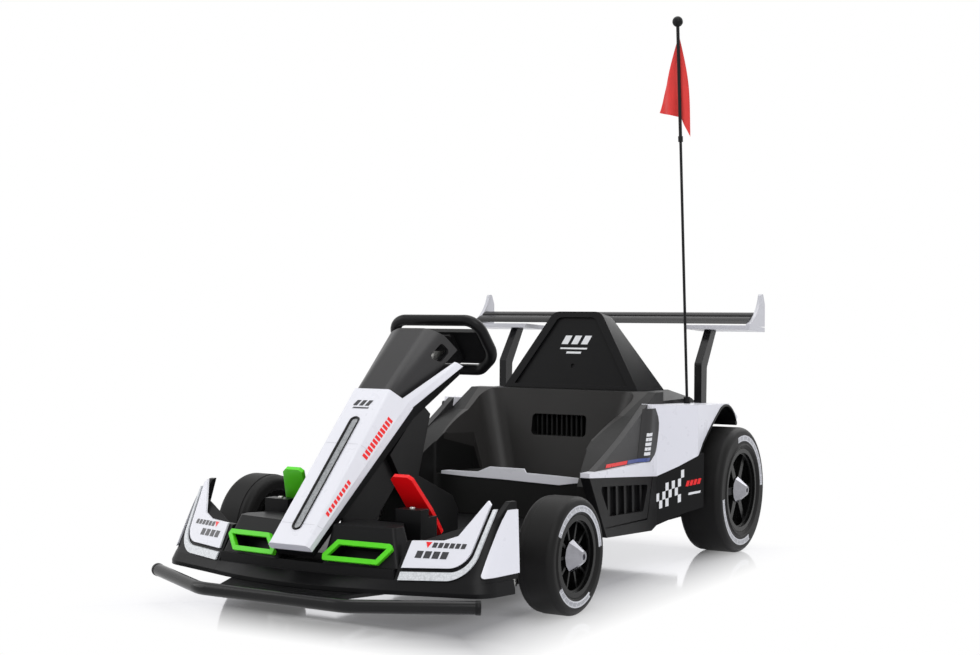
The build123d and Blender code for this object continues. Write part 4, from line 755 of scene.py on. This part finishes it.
class KartStudio(bpy.types.PropertyGroup):
    """The camera, floor and lamps."""

    camera_place: FloatVectorProperty(name="Camera", description="Place of the camera",
                                      subtype="TRANSLATION", unit="LENGTH",
                                      default=(1.5140, -2.5526, 0.5066))
    azimuth: FloatProperty(name="Azimuth", description="Turn of the camera round the kart",
                           subtype="ANGLE", unit="ROTATION", default=math.radians(30.37))
    elevation: FloatProperty(name="Elevation", description="Height of the view above the horizon",
                             subtype="ANGLE", unit="ROTATION", default=math.radians(0.414))
    roll: FloatProperty(name="Roll", description="Tilt of the camera about its view",
                        subtype="ANGLE", unit="ROTATION", default=math.radians(0.355))
    lens: FloatProperty(name="Lens", description="Focal length in millimetres on a 36 mm sensor",
                        default=55.31, min=1)


# Operators

class KART_OT_stage(bpy.types.Operator):
    """Make the floor, the lamps, the world and the camera"""

    bl_idname = "kart.stage"
    bl_label = "Studio"

    def execute(self, context):
        self.floor()
        self.world(context.scene)
        target = Vector((0, (cad_low.y + cad_high.y) / 2, LAMPS_FACE))
        for name, place, size, power in LAMPS:
            self.lamp(name, Vector(place), size, power, target)
        self.camera(context.scene, context.scene.kart_studio)
        return {"FINISHED"}

    def floor(self):
        """A glossy white floor that keeps the kart's shadow and a soft mirror image.

        Away from the kart it fades to the plain white that the camera sees behind it.
        """
        sheet = Sheet.material("studio_floor")
        across, along, up = sheet.axes()
        beside = sheet.maths("MAXIMUM", abs(across) - cad_high.x, abs(along) - cad_high.y + FADE_SHORT)
        fade = ((beside + FADE_INSIDE) * FADE_RATE).held() * (1 - FLOOR_WHITE) + FLOOR_WHITE
        clouds = sheet.noise(3.0, 2.0)
        sheet.set(
            base_color=sheet.blend(clouds, (0.88, 0.88, 0.94, 1), (0.9, 0.9, 0.95, 1)),
            metallic=0.5,
            roughness=0.07,
        )
        light = sheet.node("ShaderNodeEmission", None, {"Color": (1, 1, 1, 1), "Strength": 1.0})
        lit = sheet.node("ShaderNodeMixShader", None, {
            0: sheet.seen() * fade, 1: Socket(sheet, sheet.surface.outputs[0]), 2: light})
        sheet.feed(sheet.tree.nodes["Material Output"].inputs["Surface"], lit)
        mesh = bpy.data.meshes.new("floor")
        corners = [(-FLOOR_HALF, -FLOOR_HALF, 0), (FLOOR_HALF, -FLOOR_HALF, 0), (FLOOR_HALF, FLOOR_HALF, 0),
                   (-FLOOR_HALF, FLOOR_HALF, 0)]
        mesh.from_pydata(corners, [], [(0, 1, 2, 3)])
        floor = new_object("floor", mesh)
        mesh.materials.append(sheet.owner)

    def world(self, scene):
        """White behind the kart and in its reflections, and a plain soft light elsewhere."""
        scene.world = bpy.data.worlds.new("studio")
        sheet = Sheet(scene.world, "Background")
        sheet.set(color=(1, 1, 1, 1), strength=sheet.spread(sheet.seen(), 0.5, 1.0))

    def lamp(self, name, place, size, power, target):
        """A square soft box that faces the kart."""
        light = bpy.data.lights.new(name, "AREA")
        light.size = size
        light.energy = power
        lamp = new_object(name, light)
        lamp.location = place
        lamp.rotation_mode = "QUATERNION"
        lamp.rotation_quaternion = (target - place).to_track_quat("-Z", "Y")

    def camera(self, scene, studio):
        """The photograph's camera."""
        lens = bpy.data.cameras.new("camera")
        lens.lens = studio.lens
        lens.sensor_width = 36
        lens.clip_start = 0.05
        lens.clip_end = 100
        camera = new_object("camera", lens)
        forward = Vector((
            -math.sin(studio.azimuth) * math.cos(studio.elevation),
            math.cos(studio.azimuth) * math.cos(studio.elevation),
            -math.sin(studio.elevation),
        ))
        facing = forward.to_track_quat("-Z", "Y").to_matrix().to_4x4()
        camera.matrix_world = (
            Matrix.Translation(studio.camera_place) @ facing @ Matrix.Rotation(studio.roll, 4, "Z")
        )
        scene.camera = camera
        scene.view_settings.view_transform = "Standard"


class KART_OT_finishes(bpy.types.Operator):
    """Give every CAD node its finish"""

    bl_idname = "kart.finishes"
    bl_label = "Finishes"

    def execute(self, context):
        colours = context.scene.kart_colours
        pitch = context.scene.kart_sizes.lamp_pitch
        for name, colour, share, *look in MOULDED:
            moulded_plastic(name, tint(getattr(colours, colour), share), *look)
        seat_shell("seat_plastic", colours.seat, colours.bucket)
        lamp_plastic("lamp_lens", pitch, 0.5, 0.74)
        lamp_plastic("nose_lens", pitch, 0.2, 0.42)
        woven_cloth("flag_cloth", colours.flag)
        # Plated plastic, zinc-plated steel and gloss paint with a faint orange peel
        clouded("cap_chrome", (60.0, 3.0), (0.2, 0.2, 0.22, 1), (0.36, 0.36, 0.39, 1), (0.14, 0.24),
                (900.0, 1.0), 0.00001, 0.3, metallic=0.95)
        for name in ("bare_steel", "screw_zinc"):
            clouded(name, (80.0, 4.0, 0.6), (0.33, 0.33, 0.32, 1), (0.52, 0.52, 0.5, 1), (0.28, 0.45),
                    (900.0, 1.0), 0.0001, 0.4, metallic=1.0)
        clouded("black_paint", (25.0, 3.0), tint(colours.black, -0.15), tint(colours.black, 0.15),
                (0.16, 0.24), (260.0, 2.0), 0.0002, 0.35, specular_ior_level=0.2)
        # Printed films: slightly uneven ink with the gloss of a sticker
        for name, colour in (("print_red", colours.red), ("print_blue", colours.blue),
                             ("print_dark", (0.03, 0.03, 0.035)), ("print_white", (0.78, 0.79, 0.81)),
                             ("seam_grey", (0.5, 0.51, 0.54))):
            clouded(name, (140.0, 3.0), tint(colour, -0.06), tint(colour, 0.06), (0.24, 0.34),
                    (400.0, 1.0), 0.00005, 0.3)
        for finish, members in FINISH_NODES.items():
            for node in members:
                set_finish(node, finish)
        return {"FINISHED"}


class KART_OT_tyres(bpy.types.Operator):
    """Give the tyres their satin surface and the light bands on their sides"""

    bl_idname = "kart.tyres"
    bl_label = "Tyres"

    def execute(self, context):
        colours = context.scene.kart_colours
        for corner in CORNERS:
            node = "tyre_" + corner
            band, arcs = TYRE_PRINTS[corner.split("_")[0]]
            tyre_plastic(node + "_satin", node, band, arcs, colours.tyre, colours.marking)
            set_finish(node, node + "_satin")
        return {"FINISHED"}


class KART_OT_flag(bpy.types.Operator):
    """Hang the flag on its mast and let it fall"""

    bl_idname = "kart.flag"
    bl_label = "Flag"

    def execute(self, context):
        sheet, pinned, area = self.pleated()
        flag = new_piece("flag_sheet", sheet, "flag_cloth", smooth=True)
        self.fall(context.scene, flag, pinned)
        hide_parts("flag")
        return {"FINISHED"}

    def pleated(self):
        """The flag before it falls: it widens downwards on both sides of the mast, in soft pleats."""
        shape = bmesh.new()
        grid = []
        for i in range(FLAG_ROWS + 1):
            share = i / FLAG_ROWS
            on_mast = MAST_HIGH.lerp(MAST_LOW, share)
            bow = 1 + FLAG_BOW
            fly = FLAG_TOP + FLAG_FLARE * share * (bow - FLAG_BOW * share)
            flap = FLAG_TOP + FLAG_FLAP * math.sin(0.5 * math.pi * min(1.0, share * bow))
            line = []
            for k in range(-FLAP_COLUMNS, FLY_COLUMNS + 1):
                out = k / FLY_COLUMNS * fly if k > 0 else k / FLAP_COLUMNS * flap
                fold = FLAG_PLEAT * share * (1 - math.cos(out * FLAG_PLEAT_RATE + share * FLAG_TWIST))
                stir = FLAG_STIR * share * noise.noise(Vector((out * 40, share * 6, 0.5)))
                drop = FLY_RISE * share ** 3 * out if k > 0 else FLAP_RISE * share ** 6 * out
                line.append(shape.verts.new((on_mast.x - out, on_mast.y + FLAG_OFF_MAST + fold + stir,
                                             on_mast.z + drop)))
            grid.append(line)
        columns = FLAP_COLUMNS + FLY_COLUMNS
        for upper, lower in zip(grid, grid[1:]):
            for k in range(columns):
                shape.faces.new((upper[k], upper[k + 1], lower[k + 1], lower[k]))
        area = sum(face.calc_area() for face in shape.faces)
        pinned = [i * (columns + 1) + FLAP_COLUMNS for i in range(FLAG_ROWS + 1)]
        return shape, pinned, area

    def fall(self, scene, flag, pinned):
        """Runs the cloth until it hangs, and keeps the shape that it ends with."""
        group = flag.vertex_groups.new(name="hoist")
        group.add(pinned, 1.0, "REPLACE")
        cloth = flag.modifiers.new("hang", "CLOTH")
        settings = cloth.settings
        settings.quality = 8
        settings.mass = 0.12
        settings.tension_stiffness = 40
        settings.compression_stiffness = 40
        settings.shear_stiffness = 20
        settings.bending_stiffness = 0.6
        settings.vertex_group_mass = "hoist"
        settings.air_damping = 4
        settings.effector_weights.gravity = FLAG_PULL
        cloth.collision_settings.use_collision = False
        cloth.collision_settings.use_self_collision = False
        cloth.point_cache.frame_start = 1
        cloth.point_cache.frame_end = FLAG_FRAMES
        for step in range(1, FLAG_FRAMES + 1):
            scene.frame_set(step)
        fallen = bpy.data.meshes.new_from_object(flag.evaluated_get(bpy.context.evaluated_depsgraph_get()))
        places = [vert.co.copy() for vert in fallen.vertices]
        flag.modifiers.remove(cloth)
        for vert, place in zip(flag.data.vertices, places):
            vert.co = place
        bpy.data.meshes.remove(fallen)
        flag.vertex_groups.clear()
        scene.frame_set(1)


class KART_OT_nose_lamp(bpy.types.Operator):
    """Set the nose lamp in its dark surround and fill it with prisms"""

    bl_idname = "kart.nose_lamp"
    bl_label = "Nose lamp"

    def execute(self, context):
        middle = NOSE_TIP + NOSE_ALONG * NOSE_LAMP_MIDDLE
        shape = bmesh.new()
        rings = []
        for half_width, height in NOSE_LAMP_SURROUND:
            outline = slot_outline(NOSE_LAMP_HALF - NOSE_LAMP_END + half_width, half_width)
            rings.append([shape.verts.new(middle + ACROSS * x + NOSE_ALONG * y + NOSE_OUT * height)
                          for x, y in outline])
        for inner, outer in zip(rings, rings[1:]):
            for k in range(len(inner)):
                after = (k + 1) % len(inner)
                shape.faces.new((inner[k], outer[k], outer[after], inner[after]))
        new_piece("nose_lamp_surround", shape, "wing_plastic", smooth=True)
        prisms = bmesh.new()
        pitch = context.scene.kart_sizes.lamp_pitch
        count = int(2 * (NOSE_LAMP_HALF - PRISM_MARGIN) / pitch)
        for i in range(count):
            for k in range(3):
                at = (middle + ACROSS * (k - 1) * pitch + NOSE_ALONG * (i - (count - 1) / 2) * pitch
                      - NOSE_OUT * PRISM_DEPTH)
                self.prism(prisms, at, pitch)
        new_piece("nose_lamp_prisms", prisms, "nose_lens")
        return {"FINISHED"}

    def prism(self, shape, at, pitch):
        """Adds one low pyramid of the lens."""
        half = pitch * PRISM_HALF_SHARE
        base = [shape.verts.new(at + ACROSS * x * half + NOSE_ALONG * y * half)
                for x, y in ((-1, -1), (1, -1), (1, 1), (-1, 1))]
        tip = shape.verts.new(at + NOSE_OUT * pitch * PRISM_TALL_SHARE)
        for k in range(4):
            shape.faces.new((base[k], base[(k + 1) % 4], tip))


class KART_OT_marks(bpy.types.Operator):
    """Lay the printed marks, the checker, the stripes and the parting lines on the shell"""

    bl_idname = "kart.marks"
    bl_label = "Markings"

    def execute(self, context):
        on_nose = (NOSE_TIP, ACROSS, NOSE_ALONG)
        from_front = (BACK * -0.7, ACROSS, UP)
        above_seat = (BACK * 0.3, ACROSS, UP)
        for name, side in SIDES:
            laid_film("nose_blocks_" + name, "nose_cowl", on_nose, self.nose_blocks(side), "print_red", 0.004)
        laid_film("nose_bars", "nose_cowl", on_nose, bars(NOSE_BARS), "print_dark")
        laid_film("nose_seams", "nose_cowl", on_nose, bars(NOSE_SEAMS), "seam_grey", 0.006, 0.00025)
        for name, side in SIDES:
            wedge = [(side * x, z) for x, z in CORNER_WEDGE]
            laid_film("corner_wedge_" + name, "corner_panels", from_front, [wedge], "print_red", 0.005)
            blocks = CORNER_BLOCKS
            if side < 0:
                blocks = [(count, -x - width, z, -step, rise, width, height, lean)
                          for count, x, z, step, rise, width, height, lean in CORNER_BLOCKS]
            laid_film("corner_blocks_" + name, "corner_panels", from_front, bars(blocks), "print_dark", 0.005)
            self.side_marks(name, side, context.scene.kart_sizes.check_size)
        laid_film("headrest_bars", "headrest", above_seat, bars(HEADREST_BARS), "print_white", 0.01)
        return {"FINISHED"}

    def nose_blocks(self, side):
        """The slanted blocks along one lower edge of the nose."""
        blocks = []
        for start, count, width in NOSE_BLOCK_ROWS:
            for k in range(count):
                s = start + k * NOSE_BLOCK_STEP
                outer = side * (EDGE_HALF + EDGE_SPREAD * s)
                inner = outer - side * width
                blocks.append([(outer, s), (outer, s + NOSE_BLOCK_TALL),
                               (inner, s + NOSE_BLOCK_LEAN + NOSE_BLOCK_TALL), (inner, s + NOSE_BLOCK_LEAN)])
        return blocks

    def side_marks(self, name, side, check):
        """The stripe and blocks on an insert, and the checker, accents and line on the pod's flare."""
        beside = (ACROSS * side * 0.4, BACK * side, UP)

        def turned_round(outlines):
            return [[(side * y, z) for y, z in outline] for outline in outlines]

        fairing = self.fairing(name, side)
        for colour, start, end in STRIPES:
            outline = [(start, STRIPE_LOW), (end, STRIPE_LOW), (end + STRIPE_LEAN, STRIPE_HIGH),
                       (start + STRIPE_LEAN, STRIPE_HIGH)]
            laid_film(f"insert_stripe_{colour}_{name}", "side_inserts", beside, turned_round([outline]),
                      "print_" + colour, 0.004, over=[fairing])
        laid_film("insert_blocks_" + name, "side_inserts", beside, turned_round(bars(INSERT_BLOCKS)),
                  "print_white", 0.004, over=[fairing])
        squares = []
        for column, row in CHECKER:
            y = CHECKER_START.x + column * check
            z = CHECKER_START.y + column * CHECKER_RISE + row * CHECKER_TALL
            squares.append([(y, z), (y + check, z + CHECKER_RISE),
                            (y + check, z + CHECKER_RISE + CHECKER_TALL), (y, z + CHECKER_TALL)])
        for mark, outlines, finish in (("checker", squares, "print_white"),
                                       ("accents", bars(FLARE_ACCENTS), "print_red"),
                                       ("line", [FLARE_LINE], "print_white")):
            laid_film(f"flare_{mark}_{name}", "side_pods", beside, turned_round(outlines), finish, 0.006)

    def fairing(self, name, side):
        """The rear part of an insert, which swells out over the white panel's front edge."""
        shape = bmesh.new()
        rows = []
        for z, rear in FAIRING:
            edge = FAIRING_EDGE + (z - FAIRING_FOOT) * FAIRING_LEAN
            line = [(edge - before, x) for before, x in FAIRING_FRONT]
            for share in (0.25, 0.5, 0.75, 1.0):
                y = edge + (rear - edge) * share
                line.append((y, FAIRING_X + max(0.0, y - PANEL_BEND) * PANEL_FLARE))
            rows.append([shape.verts.new((side * x, y, z)) for y, x in line])
        for lower, upper in zip(rows, rows[1:]):
            for k in range(len(lower) - 1):
                corners = (lower[k], lower[k + 1], upper[k + 1], upper[k])
                shape.faces.new(corners if side > 0 else reversed(corners))
        return new_piece("insert_fairing_" + name, shape, "dash_plastic", smooth=True)


class KART_OT_fittings(bpy.types.Operator):
    """Fit the screws, the bar's plugs, the bellows, the webs, the lip's band and the rear cover"""

    bl_idname = "kart.fittings"
    bl_label = "Fittings"

    def execute(self, context):
        radius = context.scene.kart_sizes.screw_radius
        self.screws("plate_screws", PLATE_SCREWS, -UP, radius)
        self.screws("pedal_screws", PEDAL_SCREWS, UP, radius * 1.1)
        # A plug in each end of the bumper bar
        plugs = bmesh.new()
        run = (BAR_END - BAR_BEND).normalized()
        for name, side in SIDES:
            mirror = Vector((side, 1, 1))
            turned(plugs, PLUG, (BAR_END - run * PLUG_INSIDE) * mirror, run * mirror, 32)
        new_piece("bar_plugs", plugs, "black_plastic", smooth=True)
        # A bellows round the lower steering shaft
        boot = bmesh.new()
        profile = [(BOOT_NECK, BOOT_START)]
        for k in range(BOOT_FOLDS):
            start = BOOT_START + k * BOOT_FOLD
            profile += [(BOOT_VALLEY, start + 0.001), (BOOT_CREST, start + 0.5 * BOOT_FOLD)]
        end = BOOT_START + BOOT_FOLDS * BOOT_FOLD
        profile += [(BOOT_VALLEY, end), (BOOT_NECK, end)]
        turned(boot, profile, SHAFT_JOINT, Vector((0, -math.sin(SHAFT_LEAN), -math.cos(SHAFT_LEAN))), 28)
        new_piece("shaft_boot", boot, "grip_plastic", smooth=True)
        # Two webs under the nose, which close the space before the shaft
        webs = bmesh.new()
        for x in NOSE_WEB_STARTS:
            raised_plate(webs, NOSE_WEB, ACROSS * x, BACK, UP, 0.004, 0.0006)
        new_piece("nose_webs", webs, "black_plastic")
        # The curved white band along the seat's front lip
        band = bmesh.new()
        raised_plate(band, LIP_BAND, BACK * LIP_BAND_Y, ACROSS, UP, 0.0028, 0.0008)
        new_piece("lip_band", band, "white_plastic")
        # A cover over the motor bay, with slats and four screws
        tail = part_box("rear_body")[1].y
        place = Vector((0, tail - 0.0002, COVER_MIDDLE))
        top = BACK * (COVER_THICK - 0.0004)
        cover = bmesh.new()
        raised_plate(cover, COVER, place, -ACROSS, UP, COVER_THICK, 0.0015)
        for k in range(COVER_SLATS):
            slat = [(x, z + k * COVER_SLAT_STEP) for x, z in COVER_SLAT]
            raised_plate(cover, slat, place + top, -ACROSS, UP, 0.003, 0.0012)
        new_piece("rear_cover", cover, "wing_plastic")
        corners = [(x, tail + top.y, COVER_MIDDLE + z) for x, z in COVER_SCREWS]
        self.screws("cover_screws", corners, BACK, radius * 0.9)
        return {"FINISHED"}

    def screws(self, name, places, toward, radius):
        """One piece with a screw at each place."""
        shape = bmesh.new()
        for place in places:
            add_screw(shape, Vector(place), toward, radius)
        new_piece(name, shape, "screw_zinc")


OPERATORS = (KART_OT_stage, KART_OT_finishes, KART_OT_tyres, KART_OT_nose_lamp, KART_OT_marks,
             KART_OT_fittings, KART_OT_flag)


class KART_PT_panel(bpy.types.Panel):
    """The kart's settings and steps"""

    bl_label = "Electric drift kart"
    bl_idname = "KART_PT_panel"
    bl_space_type = "VIEW_3D"
    bl_region_type = "UI"
    bl_category = "Kart"

    def draw(self, context):
        for group in (context.scene.kart_colours, context.scene.kart_sizes, context.scene.kart_studio):
            box = self.layout.box()
            for name in group.__annotations__:
                box.prop(group, name)
        for operator in OPERATORS:
            self.layout.operator(operator.bl_idname)


GROUPS = (("kart_colours", KartColours), ("kart_sizes", KartSizes), ("kart_studio", KartStudio))


def register():
    for name, group in GROUPS:
        bpy.utils.register_class(group)
        setattr(bpy.types.Scene, name, PointerProperty(type=group))
    for operator in OPERATORS:
        bpy.utils.register_class(operator)
    bpy.utils.register_class(KART_PT_panel)


def unregister():
    bpy.utils.unregister_class(KART_PT_panel)
    for operator in reversed(OPERATORS):
        bpy.utils.unregister_class(operator)
    for name, group in reversed(GROUPS):
        delattr(bpy.types.Scene, name)
        bpy.utils.unregister_class(group)


def main():
    register()
    bpy.ops.kart.stage()
    bpy.ops.kart.finishes()
    bpy.ops.kart.tyres()
    bpy.ops.kart.nose_lamp()
    bpy.ops.kart.marks()
    bpy.ops.kart.fittings()
    bpy.ops.kart.flag()


if __name__ == "__main__":
    main()
